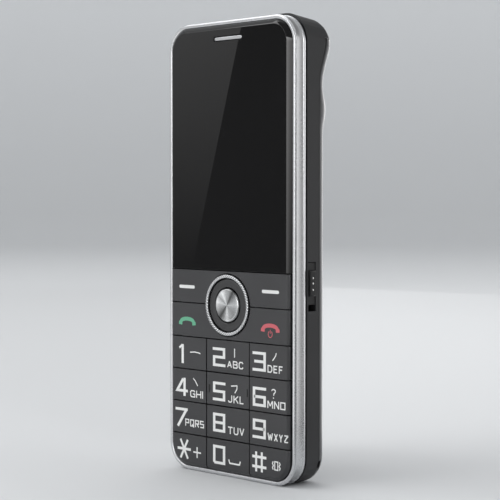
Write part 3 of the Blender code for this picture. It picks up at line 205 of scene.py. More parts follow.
def mergedCopy(node, name):    # a CAD node's loose triangles made one skin again
    bm = bmesh.new()
    bm.from_mesh(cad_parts[node].data)
    ops.remove_doubles(bm, verts=bm.verts, dist=0.002 * mm)
    ops.dissolve_limit(bm, angle_limit=math.radians(0.4), verts=bm.verts[:], edges=bm.edges[:])
    return toObject(name, bm, turnOut=False)


def linear(code):    # sRGB hex to the renderer's linear colour
    parts = [int(code[i:i + 2], 16) / 255 for i in (0, 2, 4)]
    return [p / 12.92 if p <= 0.04045 else ((p + 0.055) / 1.055) ** 2.4 for p in parts] + [1.0]


def feed(socket, source):    # a node stands for its first output
    if isinstance(source, bpy.types.Node):
        source = source.outputs[0]
    socket.id_data.links.new(source, socket)


def addNode(tree, kind, values=None):
    # values: the node's own settings, its inputs' values, and the sockets or nodes that feed its inputs
    node = tree.nodes.new("ShaderNode" + kind)
    for key, value in (values or {}).items():
        if isinstance(value, (bpy.types.Node, bpy.types.NodeSocket)):
            feed(node.inputs[key], value)
        elif isinstance(key, str) and key[0].islower():
            setattr(node, key, value)
        else:
            node.inputs[key].default_value = value
    return node


def blankMaterial(name):
    material = bpy.data.materials.new(name)
    material.use_nodes = True
    material.node_tree.nodes.clear()
    return material, partial(addNode, material.node_tree)


def opened(material):    # what a pattern builds on: how to add nodes, the shader and its colour so far
    shader = material.node_tree.nodes["Principled BSDF"]
    return partial(addNode, material.node_tree), shader, shader.inputs["Base Color"].links[0].from_socket


def aimed(obj, place, way):    # a camera or lamp put in place, looking one way
    obj.location = place
    obj.rotation_mode = "QUATERNION"
    obj.rotation_quaternion = way.to_track_quat("-Z", "Y")
    return obj


# Camera: solved from the photo's edges, 430 mm away, level with the phone's middle

cameraView = {"place": (0.30758, -0.30539, 0.08140), "towards": (-0.70876, 0.70545), "down": 2.0757,
              "lens": 107.125, "sensor": 36}

lensData = bpy.data.cameras.new("photoCamera")
lensData.lens = cameraView["lens"]
lensData.sensor_width = cameraView["sensor"]
pitch = math.radians(cameraView["down"])
level = Vector(cameraView["towards"]) * math.cos(pitch)
ahead = Vector((level.x, level.y, -math.sin(pitch)))
scene.camera = aimed(linked("photoCamera", lensData), cameraView["place"], ahead)
scene.view_settings.view_transform = "Standard"
print("camera set")


# Stage: pale sweep, soft lamps, and cards that only reflections meet

stageLook = {
    "floor": "d4d5d6", "wall": "eeeff0", "wallFrom": 0.05, "wallTo": 0.5,
    "floorRings": (0, 0.15, 0.4, 1.0), "floorRadius": 2.0, "bendRadius": 1.2, "wallTop": 2.6,
    "world": "e6e8ea", "worldLight": 0.9, "lampAim": 0.066, "sheetLift": 0.004, "sheetFrom": 0.07}
# each lamp: azimuth and elevation of its place, distance, size of its face, and how bright the face is
lampPlan = {
    "frontLamp": (-38, 44, 1.4, (1.1, 0.9), 2.2),
    "fillLamp": (-14, 16, 1.3, (0.42, 0.6), 1.9),
    "sideLamp": (112, 34, 1.5, (0.9, 0.8), 0.6),
    "backLamp": (235, 56, 1.5, (1.1, 1.0), 1.2)}
# each card: azimuths of its foot, and of its head if other, two heights, distance, glow at low left, low
# right, high right and high left; last, the glow of its floor sheet, near side then far side
cardPlan = {
    "slantCard": ((9, 46), (4, 44), (0.0, 0.43), 1.0, (1.9, 0.1, 4.2, 6.6), None),
    "lipCard": ((-41, -6), None, (-0.02, 0.4), 0.95, (0.9, 1.2, 1.2, 0.9), (1.3, 1.3)),
    "edgeDarkCard": ((48, 106), None, (-0.02, 0.6), 0.93, (0.12,) * 4, None),
    "frontSheet": ((22, 92), None, None, 0.9, None, (0.12, 0.12)),
    "leftCard": ((-100, -58), None, (-0.02, 0.4), 0.95, (0.3, 0.5, 1.5, 1.1), None),
    "leftDarkCard": ((-130, -102), None, (-0.02, 0.4), 0.9, (0.03,) * 4, (0.05, 0.05)),
    "sideCard": ((106, 158), None, (-0.02, 0.7), 0.9, (0.05, 1.02, 1.06, 0.08), (0.1, 1.0)),
    "rearCard": ((158, 222), None, (-0.02, 0.3), 0.9, (1.5, 3.6, 3.8, 1.6), (1.3, 3.0)),
    "topDarkCard": ((140, 214), None, (0.36, 0.8), 0.8, (0.22,) * 4, None)}
# the screen glass reflects a pale card that fades downwards, cut slantwise by a dark one; each has its
# plane in y, its corners in x and z, and its glows
glassCards = {
    "glassLightCard": (-0.6, ((-0.86, -0.02), (-0.669, -0.02), (-0.585, 0.262), (-0.86, 0.262)),
                       (0.07, 0.07, 0.86, 0.86)),
    "glassDarkCard": (-0.602, ((-0.70, -0.02), (-0.53, -0.02), (-0.53, 0.32), (-0.62, 0.32)), (0.17,) * 4)}
# a dark card overhead keeps the bevel at the glass's corner as dark as the face
cornerPlan = {"ways": ((48, 24), (-2, 24), (-60, 58), (24, 66)), "away": 1.1, "glows": (0.25,) * 4}


def makeSweep():
    # a round floor that turns up softly into a wall, spun about the phone's axis
    look = stageLook
    floor, bend, top = look["floorRadius"], look["bendRadius"], look["wallTop"]
    bm = bmesh.new()
    line = [bm.verts.new((reach, 0, 0)) for reach in look["floorRings"] + (floor,)]
    for pair in zip(line, line[1:]):
        bm.edges.new(pair)
    ops.spin(bm, geom=line[-1:], cent=(floor, 0, bend), axis=(0, 1, 0), angle=-math.pi / 2, steps=16)
    rim = max(bm.verts, key=lambda v: v.co.x)
    crest = bm.verts.new((rim.co.x, 0, top))
    bm.edges.new((rim, crest))
    ops.spin(bm, geom=bm.verts[:] + bm.edges[:], cent=(0, 0, 0), axis=(0, 0, 1),
                   angle=2 * math.pi, steps=96, use_merge=True)
    ops.remove_doubles(bm, verts=bm.verts, dist=0.1 * mm)
    sweep = toObject("paleSweep", bm)
    sweep.data.shade_smooth()
    paint, add = blankMaterial("matt pale paint")
    height = add("SeparateXYZ", {"Vector": add("TexCoord").outputs["Object"]}).outputs["Z"]
    rise = add("MapRange", {"From Min": look["wallFrom"], "From Max": look["wallTo"], "Value": height})
    tones = linear(look["floor"]), linear(look["wall"])
    tone = add("Mix", {"data_type": "RGBA", 0: rise, 6: tones[0], 7: tones[1]}).outputs[2]
    shader = add("BsdfPrincipled", {"Base Color": tone, "Roughness": 0.9, "Specular IOR Level": 0.2})
    add("OutputMaterial", {"Surface": shader})
    sweep.data.materials.append(paint)


def towards(azimuth, elevation):
    turn, rise = math.radians(azimuth), math.radians(elevation)
    return Vector((math.sin(turn) * math.cos(rise), -math.cos(turn) * math.cos(rise), math.sin(rise)))


def softLamp(name, azimuth, elevation, distance, size, radiance):
    # an area lamp aimed at the phone's middle
    way = towards(azimuth, elevation)
    data = bpy.data.lights.new(name, "AREA")
    data.shape = "RECTANGLE"
    data.size, data.size_y = size
    data.energy = radiance * math.pi * size[0] * size[1]
    lamp = aimed(linked(name, data), Vector((0, 0, stageLook["lampAim"])) + way * distance, -way)
    lamp.visible_camera = False


def card(name, corners, glows):
    # a glowing card, its brightness spread between its corners
    bm = bmesh.new()
    glow = bm.verts.layers.float.new("glow")
    verts = [bm.verts.new(c) for c in corners]
    for vert, value in zip(verts, glows):
        vert[glow] = value
    bm.faces.new(verts)
    ops.subdivide_edges(bm, edges=bm.edges[:], cuts=9, use_grid_fill=True)
    made = toObject(name, bm, turnOut=False)
    material, add = blankMaterial(name + " face")
    amount = add("Attribute", {"attribute_name": "glow"})
    shine = add("Emission", {"Strength": amount.outputs["Fac"]})
    add("OutputMaterial", {"Surface": shine})
    made.data.materials.append(material)
    made.visible_camera = made.visible_diffuse = made.visible_shadow = False


world = bpy.data.worlds.new("studio")
scene.world = world
world.use_nodes = True
world.node_tree.nodes.clear()
air = addNode(world.node_tree, "Background",
              {"Color": linear(stageLook["world"]), "Strength": stageLook["worldLight"]})
addNode(world.node_tree, "OutputWorld", {"Surface": air})
makeSweep()
for lampName, plan in lampPlan.items():
    softLamp(lampName, *plan)
for cardName, (feet, heads, heights, away, glows, floorGlow) in cardPlan.items():
    if heights:
        low, high = [[towards(turn, 0) * away + Vector((0, 0, height)) for turn in turns]
                     for turns, height in zip((feet, heads or feet), heights)]
        card(cardName, low + high[::-1], glows)
    if floorGlow:
        lift = Vector((0, 0, stageLook["sheetLift"]))
        near, far = [[towards(foot, 0) * reach + lift for foot in feet]
                     for reach in (stageLook["sheetFrom"], away)]
        card(cardName + "Sheet", near + far[::-1], (floorGlow[0], floorGlow[1], floorGlow[1], floorGlow[0]))
for cardName, (y, corners, glows) in glassCards.items():
    card(cardName, [(x, y, z) for x, z in corners], glows)
corners = [towards(*way) * cornerPlan["away"] for way in cornerPlan["ways"]]
card("cornerDarkCard", corners, cornerPlan["glows"])
print("stage set")


# Finishes: each from the real material, with its pattern sized in mm

def finish(name, dark, light, rough, grain=0.3, lift=0.0, stretch=(1, 1, 1), slow=12.0, **settings):
    # a fine pattern and a slow change steer colour and gloss, and the fine one gives the relief
    material, add = blankMaterial(name)
    place = add("TexCoord").outputs["Object"]
    drawn = add("Mapping", {"Scale": stretch, "Vector": place})
    fine = add("TexNoise", {"Scale": 1000 / grain, "Detail": 3.0, "Roughness": 0.6, "Vector": drawn})
    broad = add("TexNoise", {"Scale": 1000 / slow, "Detail": 2.0, "Vector": place})
    both = add("Mix", {"Factor": 0.5, "A": fine, "B": broad})
    tone = add("ValToRGB", {"Fac": both})
    for element, position, code in zip(tone.color_ramp.elements, (0.34, 0.66), (dark, light)):
        element.position, element.color = position, linear(code)
    gloss = add("MapRange", {
        "From Min": 0.3, "From Max": 0.7, "To Min": rough[0], "To Max": rough[1], "Value": both})
    values = {key.replace("_", " "): value for key, value in settings.items()}
    shader = add("BsdfPrincipled", {**values, "Base Color": tone, "Roughness": gloss})
    if lift > 0:
        relief = add("Bump", {"Distance": lift * mm, "Height": fine})
        feed(shader.inputs["Normal"], relief)
    add("OutputMaterial", {"Surface": shader})
    return material


def paintedBy(material, attribute, code, rough):
    # the finish turns to another tone and gloss where the mesh's own attribute says so
    add, shader, _ = opened(material)
    amount = add("Attribute", {"attribute_name": attribute}).outputs["Fac"]
    changes = (("Base Color", "RGBA", 6, linear(code), 2), ("Roughness", "FLOAT", 2, rough, 0))
    for socket, kind, first, value, result in changes:
        before = shader.inputs[socket].links[0].from_socket
        mixed = add("Mix", {"data_type": kind, first + 1: value, 0: amount, first: before})
        feed(shader.inputs[socket], mixed.outputs[result])
    return material


# zinc frame in silver lacquer: satin, with a barely seen metal flake
silverLacquer = finish("silver lacquer on zinc", "cfd0d2", "d6d7d9", (0.26, 0.29), grain=0.16,
                       lift=0.0002, Metallic=1.0)
# turned rim round the camera window: bright chrome
chromeRim = finish("polished chrome rim", "c6c7c9", "d6d7d9", (0.14, 0.22), grain=0.2, Metallic=1.0)
# rolled and chromed brass ring: bright on its ridges, rougher in its grooves, where a darker tone is a painted
# shade
knurledChrome = paintedBy(
    finish("knurled chrome ring", "c9cacc", "dfe0e1", (0.18, 0.28), grain=0.2, lift=0.0008, Metallic=1.0),
    "groove", "66686a", 0.4)
# mineral glass printed black behind: deep, sharp reflections and faint wiping marks
blackGlass = finish("black printed glass", "0c0c0d", "0f0f10", (0.0, 0.012), grain=1.6, slow=18.0, IOR=1.5)
# moulded polycarbonate keys under satin lacquer: even, fine orange peel
keyLacquer = finish("satin lacquered keys", "2f2f31", "373739", (0.36, 0.44), grain=0.22, lift=0.0015, IOR=1.5)
# the raised nibs, coloured near black as a painted shade, darker than the lacquer round them
nibShadeTone = finish("dark moulded nibs", "060606", "0b0b0b", (0.5, 0.6), grain=0.25, IOR=1.5)
# screen-printed inks: flat and a little open-grained
whiteInk, greenInk, redInk = [
    finish(tint + " screen ink", dark, light, (0.45, 0.55), IOR=1.48) for tint, dark, light in
    (("white", "e9e9e7", "f4f4f2"), ("green", "5aaa85", "6bb793"), ("red", "cb5b64", "d76b72"))]
# the rocker's soft-touch coat: nearly black and silky
softTouch = finish("soft-touch rocker", "2b2b2c", "333334", (0.34, 0.42), lift=0.0015, IOR=1.48)
# rear shell in PC/ABS from a spark-eroded mould: fine even pits, dull
erodedShell = finish("spark-eroded PC-ABS", "222224", "2b2b2d", (0.40, 0.52), grain=0.34, lift=0.006, IOR=1.52)
# the lift-off back in the same plastic, its rounded edges given a painted highlight: a paler tone and a
# smoother gloss
paintedHighlightShell = paintedBy(
    finish("spark-eroded back with rubbed edges", "222224", "2b2b2d", (0.40, 0.52), grain=0.34, lift=0.006,
           IOR=1.52), "edgeWear", "6e6e70", 0.3)
# polished slide switch in black acetal
switchBlack = finish("black acetal switch", "161617", "1f1f20", (0.3, 0.42), lift=0.002, IOR=1.48)
# turned and polished studs
studMetal = finish("polished studs", "e2e2e0", "f2f2f0", (0.08, 0.14), grain=0.5, Metallic=1.0)
# glass-filled nylon carrier: black, dry, with flow marks
filledNylon = finish("glass-filled nylon", "18181a", "262628", (0.5, 0.62), grain=0.4, lift=0.005, IOR=1.53)
# moulded silicone: cloudy grey, soft sheen
siliconeRubber = finish("cloudy silicone", "8b8e90", "9da0a2", (0.42, 0.5), grain=0.6, lift=0.003, IOR=1.41)
# clear film over steel domes
domeFilm = finish("film over domes", "a3a7aa", "b6babd", (0.22, 0.32), grain=0.8, lift=0.003, Metallic=0.6)
# tin-plated steel can: drawn, with fine rolling lines
tinPlate = finish("tin-plated steel", "adaca7", "c3c2bd", (0.26, 0.4), grain=0.25, lift=0.0015,
                  stretch=(0.08, 1, 1), Metallic=1.0)
# zinc-plated screw steel
screwSteel = finish("zinc-plated screws", "9fa1a3", "b4b6b8", (0.24, 0.34), grain=0.15, lift=0.002,
                    Metallic=1.0)
# heat-shrunk printed film round the cell
cellWrap = finish("shrunk cell wrap", "86898e", "979a9f", (0.26, 0.36), grain=1.4, lift=0.006, IOR=1.5,
                  Coat_Weight=0.3, Coat_Roughness=0.2)
# amber polyimide film with its copper showing through
polyimide = finish("polyimide film", "8a4a16", "a9611f", (0.24, 0.36), grain=0.5, lift=0.002,
                   stretch=(1, 1, 0.15), IOR=1.6)
# punched PVC card: white with a faint mottle
cardPvc = finish("white PVC card", "dcdcd8", "e6e6e2", (0.34, 0.44), grain=0.5, lift=0.001, IOR=1.53)
# plated contacts
goldPlate = finish("gold plating", "c79a45", "d9ae58", (0.2, 0.3), lift=0.001, Metallic=1.0)
# liquid crystal panel, switched off, with its grey edge
offPanel = finish("switched-off panel", "0e0f12", "16171b", (0.12, 0.2), grain=0.4, IOR=1.52)
# phosphor under clear epoxy
phosphor = finish("lamp phosphor", "d8c255", "e6d372", (0.2, 0.32), grain=0.4, IOR=1.52, Coat_Weight=0.5)
# multicoated camera lens: nearly black with a violet cast
coatedLens = finish("multicoated lens", "0b0912", "120d1e", (0.0, 0.02), grain=1.0, IOR=1.6, Coat_Weight=0.6,
                    Coat_Tint=linear("b9a8ff"))
# polished clear polycarbonate
clearPc = finish("clear polycarbonate", "f4f6f8", "ffffff", (0.02, 0.05), grain=2.0, IOR=1.58,
                 Transmission_Weight=1.0)


def spunMetal(name, z, pitch, wedges):
    # aluminium faced on a lathe: rings pitch mm apart, whose gloss draws bright and dark wedges; the wedges
    # are also painted into the tone as a painted reflection
    material = finish(name, "eceeef", "f8f9fa", (0.22, 0.3), Metallic=1.0, Anisotropic=0.8)
    add, shader, before = opened(material)
    place = add("TexCoord").outputs["Object"]
    spoke = add("VectorMath", {"operation": "SUBTRACT", 0: place, 1: at(0, 0, z)})
    flat = add("VectorMath", {"operation": "MULTIPLY", 0: spoke, 1: (1, 0, 1)})
    sideways = add("VectorMath", {"operation": "CROSS_PRODUCT", 0: flat, 1: (0, 1, 0)})
    along = add("VectorMath", {"operation": "NORMALIZE", 0: sideways})
    feed(shader.inputs["Tangent"], along)
    reach = add("VectorMath", {"operation": "LENGTH", 0: flat}).outputs["Value"]
    turns = add("Math", {"operation": "MULTIPLY", 0: reach, 1: 2 * math.pi / (pitch * mm)})
    groove = add("Math", {"operation": "SINE", 0: turns})
    relief = add("Bump", {"Distance": 0.0012 * mm, "Height": groove})
    feed(shader.inputs["Normal"], relief)
    # the wedges are also painted into the tone: a painted reflection, bright and dark by angle round the
    # middle
    parts = add("SeparateXYZ", {"Vector": flat}).outputs
    angle = add("Math", {"operation": "ARCTAN2", 0: parts["Z"], 1: parts["X"]})
    share = add("MapRange", {"From Min": -math.pi, "From Max": math.pi, "Value": angle})
    paintedReflection = add("ValToRGB", {"Fac": share})
    ramp = paintedReflection.color_ramp
    while len(ramp.elements) < len(wedges):
        ramp.elements.new(0.5)
    for element, (turn, tone) in zip(ramp.elements, wedges):
        element.position, element.color = (turn + 180) / 360, (tone, tone, tone, 1)
    drawn = add("Mix", {"data_type": "RGBA", "blend_type": "MULTIPLY", 0: 1.0, 6: before, 7: paintedReflection})
    feed(shader.inputs["Base Color"], drawn.outputs[2])
    return material


def boardMask(name, pitch):
    # green solder mask over etched copper, whose tracks show lighter in cells about pitch mm wide
    material = finish(name, "0f3b2a", "15482f", (0.26, 0.36), grain=0.5, lift=0.002, IOR=1.55)
    add, shader, before = opened(material)
    place = add("TexCoord").outputs["Object"]
    cells = add("TexVoronoi", {"distance": "CHEBYCHEV", "Scale": 1000 / pitch, "Randomness": 0.85,
                               "Vector": place})
    track = add("MapRange", {"From Min": 0.42, "From Max": 0.5, "Value": cells})
    lit = add("Mix", {"data_type": "RGBA", 0: track, 6: before, 7: linear("2b6b49")})
    feed(shader.inputs["Base Color"], lit.outputs[2])
    return material


def punchedSteel(name, pitch):
    # thin steel etched with round holes pitch mm apart
    material = finish(name, "9c9ea0", "b2b4b6", (0.25, 0.35), grain=0.2, Metallic=1.0)
    add, shader, before = opened(material)
    place = add("TexCoord").outputs["Object"]
    cells = add("TexVoronoi", {"Scale": 1000 / pitch, "Randomness": 0.0, "Vector": place})
    hole = add("MapRange", {"From Min": 0.3, "From Max": 0.36, "Value": cells})
    dark = add("Mix", {"data_type": "RGBA", 0: hole, 6: linear("0c0c0d"), 7: before})
    relief = add("Bump", {"Distance": 0.05 * mm, "Height": hole})
    feed(shader.inputs["Base Color"], dark.outputs[2])
    feed(shader.inputs["Normal"], relief)
    return material


solderMask = boardMask("green solder mask", 2.2)
meshSteel = punchedSteel("etched speaker mesh", 0.45)
print("finishes mixed")


# Silver frame: front lip, thin line, rolled band, rear lip

frameLook = {
    "half": 26.0, "high": 131.9, "corner": 8.0, "cornerSteps": 20,
    "section": (
        (-1.25, 5.2), (-1.25, 1.12), (-1.21, 1.0), (-1.1, 0.91), (-0.92, 0.86), (-0.7, 0.85), (-0.5, 0.86),
        (-0.34, 0.9), (-0.22, 0.98), (-0.19, 1.05), (-0.24, 1.1), (-0.36, 1.12), (-0.36, 1.2), (-0.12, 1.23),
        (-0.03, 1.32), (-0.05, 1.55), (-0.12, 1.95), (-0.17, 2.35), (-0.2, 2.75), (-0.21, 3.2), (-0.19, 3.6),
        (-0.15, 3.95), (-0.17, 4.1), (-0.24, 4.16), (-0.22, 4.22), (-0.06, 4.28), (0.0, 4.38), (-0.02, 4.55),
        (-0.09, 4.85), (-0.16, 5.08), (-0.24, 5.2))}


def makeFrame():
    look = frameLook
    bm = swept(look["section"], look["half"], 0.0, look["high"], look["corner"], look["cornerSteps"])
    dress(softened(toObject("silverFrame", bm), 50), "root", silverLacquer, "silver_frame", "bezel_frame")


makeFrame()
print("frame made")


# Screen glass with its slanted border and the earpiece slot

glassLook = {
    "half": 24.68, "low": 60.03, "high": 130.58, "corner": 6.68, "cornerSteps": 20, "thick": 1.2,
    "slant": ((0.0, 0.95), (0.26, 0.7), (0.57, 0.44), (0.92, 0.2), (1.3, 0.0)), "edge": 0.05,
    "slotZ": 126.6, "slotWide": 11.6, "slotHigh": 1.5,
    "grilleWide": 11.2, "grilleHigh": 1.05, "grilleFront": 0.15, "grilleEdge": 0.22}


def makeGlass():
    look = glassLook
    bm = plate(around(0, look["half"]), (0, look["thick"]), (look["low"], look["high"]), 0, look["corner"],
               look["cornerSteps"])
    face = frontFace(bm)
    reached = 0.0
    for inward, depth in look["slant"]:    # rings inwards, each less deep, and none along the low edge
        if inward > reached:
            insetRings(bm, face, (inward - reached,))
            reached = inward
        lowest = min(v.co.z for v in face.verts)
        for vert in face.verts:
            vert.co.y = faceY + depth * mm
            if vert.co.z < lowest + 0.01 * mm:
                vert.co.z = look["low"] * mm
    bm.normal_update()
    bevelEdges(bm, [e for e in face.edges if e.calc_face_angle(0) > 0.3], look["edge"], 3)
    glass = toObject("screenGlass", bm)
    half, rise = look["slotWide"] / 2, look["slotHigh"] / 2
    slot = plate(around(0, half), (-1, 3), around(look["slotZ"], rise), rise - 0.01, rise - 0.01, 8)
    carve(glass, toObject("slot", slot))
    dress(softened(glass, 20), "root", blackGlass, "screen_glass", "front_lens")
    half, rise = look["grilleWide"] / 2, look["grilleHigh"] / 2
    bm = plate(around(0, half), (look["grilleFront"], look["thick"]), around(look["slotZ"], rise),
               rise - 0.01, rise - 0.01, 8)
    bm.normal_update()
    bevelEdges(bm, frontFace(bm).edges, look["grilleEdge"], 3)
    dress(softened(toObject("earGrille", bm)), "root", silverLacquer, "silver_frame", "earpiece_grille")


makeGlass()
print("glass made")


# Keypad: one crowned slab cut into sixteen keys, each carrying its own print

keypadLook = {
    "half": 24.45, "low": 1.4, "high": 68, "corner": 6.5, "cornerSteps": 16, "thick": 1.9, "crownWide": 3.4,
    "crownDrop": 0.1, "rings": (0.04, 0.12, 0.2, 0.22, 0.2, 0.14, 0.12, 0.3, 0.66, 1.4), "rollWide": 1.0,
    "rollDrop": 0.7, "rollBend": 1.15, "edge": 0.13, "ringZ": 49.956, "ringSteps": 128,
    "ringRoom": ((0, -2), (9.2, -2), (9.2, 4), (0, 4)), "middleGap": 0.05}
sideKeys = ("key_soft_left", "key_soft_right", "key_call", "key_end")


def crown(x, z):
    # how far the keypad's face falls back near its outline, in mm
    look = keypadLook
    inside = max(inwards(look["half"] - abs(x), z - look["low"], look["corner"]), 0.0)
    gentle = max(0.0, 1 - inside / look["crownWide"])
    steep = max(0.0, 1 - inside / look["rollWide"])
    return look["crownDrop"] * gentle ** 2 + look["rollDrop"] * steep ** look["rollBend"]


def makeKeys():
    look = keypadLook
    slab = plate(around(0, look["half"]), (0, look["thick"]), (look["low"], look["high"]), look["corner"], 0,
                 look["cornerSteps"])
    insetRings(slab, frontFace(slab), look["rings"])
    for vert in slab.verts:
        if vert.co.y < faceY + look["thick"] * mm / 2:
            vert.co.y = faceY + crown(vert.co.x / mm, vert.co.z / mm) * mm
    for name in sorted(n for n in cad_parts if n.startswith("key_")):
        low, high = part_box(name)
        for corner in (low, high):    # the pairs beside the ring meet closer than they are packed
            if abs(corner.x) < mm:
                corner.x = math.copysign(look["middleGap"] * mm, corner.x)
        bm = slab.copy()
        for side, sign in ((low.x, -1), (high.x, 1)):
            if abs(side) < (look["half"] - 0.1) * mm:
                cutAway(bm, (side, 0, 0), (sign, 0, 0))
        for side, sign in ((low.z, -1), (high.z, 1)):
            if side > (look["low"] + 0.1) * mm:
                cutAway(bm, (0, 0, side), (0, 0, sign))
        key = toObject(name + "Cap", bm)
        if name in sideKeys:
            carve(key, toObject("ring room", spun(look["ringRoom"], look["ringZ"], look["ringSteps"])))
        reshape(key, softenRim)
        dress(softened(key), name, keyLacquer, "key_plastic", name)
    slab.free()


def cutAway(bm, place, outwards):
    everything = bm.verts[:] + bm.edges[:] + bm.faces[:]
    ops.bisect_plane(bm, geom=everything, plane_co=place, plane_no=outwards, clear_outer=True)
    ops.holes_fill(bm, edges=[e for e in bm.edges if e.is_boundary], sides=0)


def softenRim(bm):    # bevels the edges between a front face and a wall that runs straight back
    bm.normal_update()
    rim = []
    for edge in bm.edges:
        if len(edge.link_faces) == 2:
            facing = sorted(f.normal.y for f in edge.link_faces)
            if facing[0] < -0.5 and abs(facing[1]) < 0.1:
                rim.append(edge)
    bevelEdges(bm, rim, keypadLook["edge"], 2)


makeKeys()
print("keys made")


# Printed marks: pen strokes with a flat nib, laid on the crowned keys

inkLook = {
    "proud": 0.016, "step": 0.0025, "body": 0.05, "segment": 0.55, "digitPen": 0.8, "digitStretch": 1.24,
    "letterPen": 0.36, "marksPen": 0.34, "flagPen": 0.66, "strongPen": 0.78, "thinPen": 0.46,
    "digitHigh": 5.5, "letterHigh": 2.16, "letterSink": 0.08, "gap": 0.42}
# strokes of unit size, each a run of x, z, x, z, as are the free strokes of the keys below
boxStroke = (0, 0, 1, 0, 1, 1, 0, 1, 0, 0)
digitShapes = {
    "0": [boxStroke],
    "2": [(-0.14, 1, 1, 1, 1, 0.5, 0, 0.5, 0, 0, 1.14, 0)],
    "3": [(-0.14, 1, 1, 1, 1, 0, -0.14, 0), (0.02, 0.5, 1, 0.5)],
    "4": [(0.62, 1, 0, 0.25, 1.1, 0.25), (0.76, 1.07, 0.76, -0.08)],
    "5": [(1.14, 1, 0, 1, 0, 0.5, 1, 0.5, 1, 0, -0.14, 0)],
    "6": [(1.14, 1, 0, 1, 0, 0, 1, 0, 1, 0.5, 0, 0.5)],
    "7": [(-0.14, 1, 1.06, 1), (0.95, 1.02, 0.1, -0.1)],
    "8": [boxStroke, (0, 0.5, 1, 0.5)],
    "9": [(-0.14, 0, 1, 0, 1, 1, 0, 1, 0, 0.5, 1, 0.5)]}
letterShapes = {
    "A": [(0, 0, 0.5, 1), (0.5, 1, 1, 0), (0.2, 0.34, 0.8, 0.34)],
    "B": [(0, 0, 0, 1, 0.8, 1, 0.95, 0.86, 0.95, 0.64, 0.8, 0.52, 0, 0.52),
          (0.8, 0.52, 1, 0.38, 1, 0.14, 0.85, 0, 0, 0)],
    "C": [(1, 0.78, 0.78, 1, 0.22, 1, 0, 0.78, 0, 0.22, 0.22, 0, 0.78, 0, 1, 0.22)],
    "D": [(0, 0, 0, 1, 0.7, 1, 1, 0.72, 1, 0.28, 0.7, 0, 0, 0)],
    "E": [(1, 1, 0, 1, 0, 0, 1, 0), (0, 0.52, 0.86, 0.52)],
    "F": [(1, 1, 0, 1, 0, -0.1), (0, 0.5, 0.86, 0.5)],
    "G": [(1, 0.8, 0.8, 1, 0.2, 1, 0, 0.8, 0, 0.2, 0.2, 0, 1, 0, 1, 0.48, 0.55, 0.48)],
    "H": [(0, -0.1, 0, 1.1), (1, -0.1, 1, 1.1), (0, 0.5, 1, 0.5)],
    "I": [(0.5, -0.1, 0.5, 1.1)],
    "J": [(0.9, 1.1, 0.9, 0.2, 0.7, 0, 0.2, 0, 0, 0.24)],
    "K": [(0, -0.1, 0, 1.1), (1, 1.06, 0.06, 0.42), (0.34, 0.6, 1.02, -0.06)],
    "L": [(0, 1.1, 0, 0, 1, 0)],
    "M": [(0, -0.1, 0, 1.05), (0.03, 1.05, 0.5, 0.25), (0.5, 0.25, 0.97, 1.05), (1, 1.05, 1, -0.1)],
    "N": [(0, -0.1, 0, 1.1), (0.02, 1.02, 0.98, -0.02), (1, -0.1, 1, 1.1)],
    "O": [boxStroke],
    "P": [(0, -0.1, 0, 1, 1, 1, 1, 0.45, 0, 0.45)],
    "Q": [boxStroke, (0.55, 0.32, 1.08, -0.2)],
    "R": [(0, -0.1, 0, 1, 1, 1, 1, 0.47, 0, 0.47), (0.5, 0.45, 1.02, -0.06)],
    "S": [(1, 1, 0, 1, 0, 0.52, 1, 0.52, 1, 0, 0, 0)],
    "T": [(-0.08, 1, 1.08, 1), (0.5, 1, 0.5, -0.1)],
    "U": [(0, 1.1, 0, 0.2, 0.2, 0, 0.8, 0, 1, 0.2, 1, 1.1)],
    "V": [(0, 1.08, 0.5, -0.04), (0.5, -0.04, 1, 1.08)],
    "W": [(0, 1.08, 0.26, -0.04), (0.26, -0.04, 0.5, 0.85), (0.5, 0.85, 0.74, -0.04),
          (0.74, -0.04, 1, 1.08)],
    "X": [(0, -0.06, 1, 1.06), (0, 1.06, 1, -0.06)],
    "Y": [(0, 1.06, 0.5, 0.45), (1, 1.06, 0.5, 0.45), (0.5, 0.5, 0.5, -0.1)],
    "Z": [(0, 1, 1, 1), (0.97, 0.95, 0.03, 0.05), (0, 0, 1, 0)]}
letterWidths = {"I": 0.0, "M": 1.15, "W": 1.55, "E": 0.85, "F": 0.8, "L": 0.8, "J": 0.9}
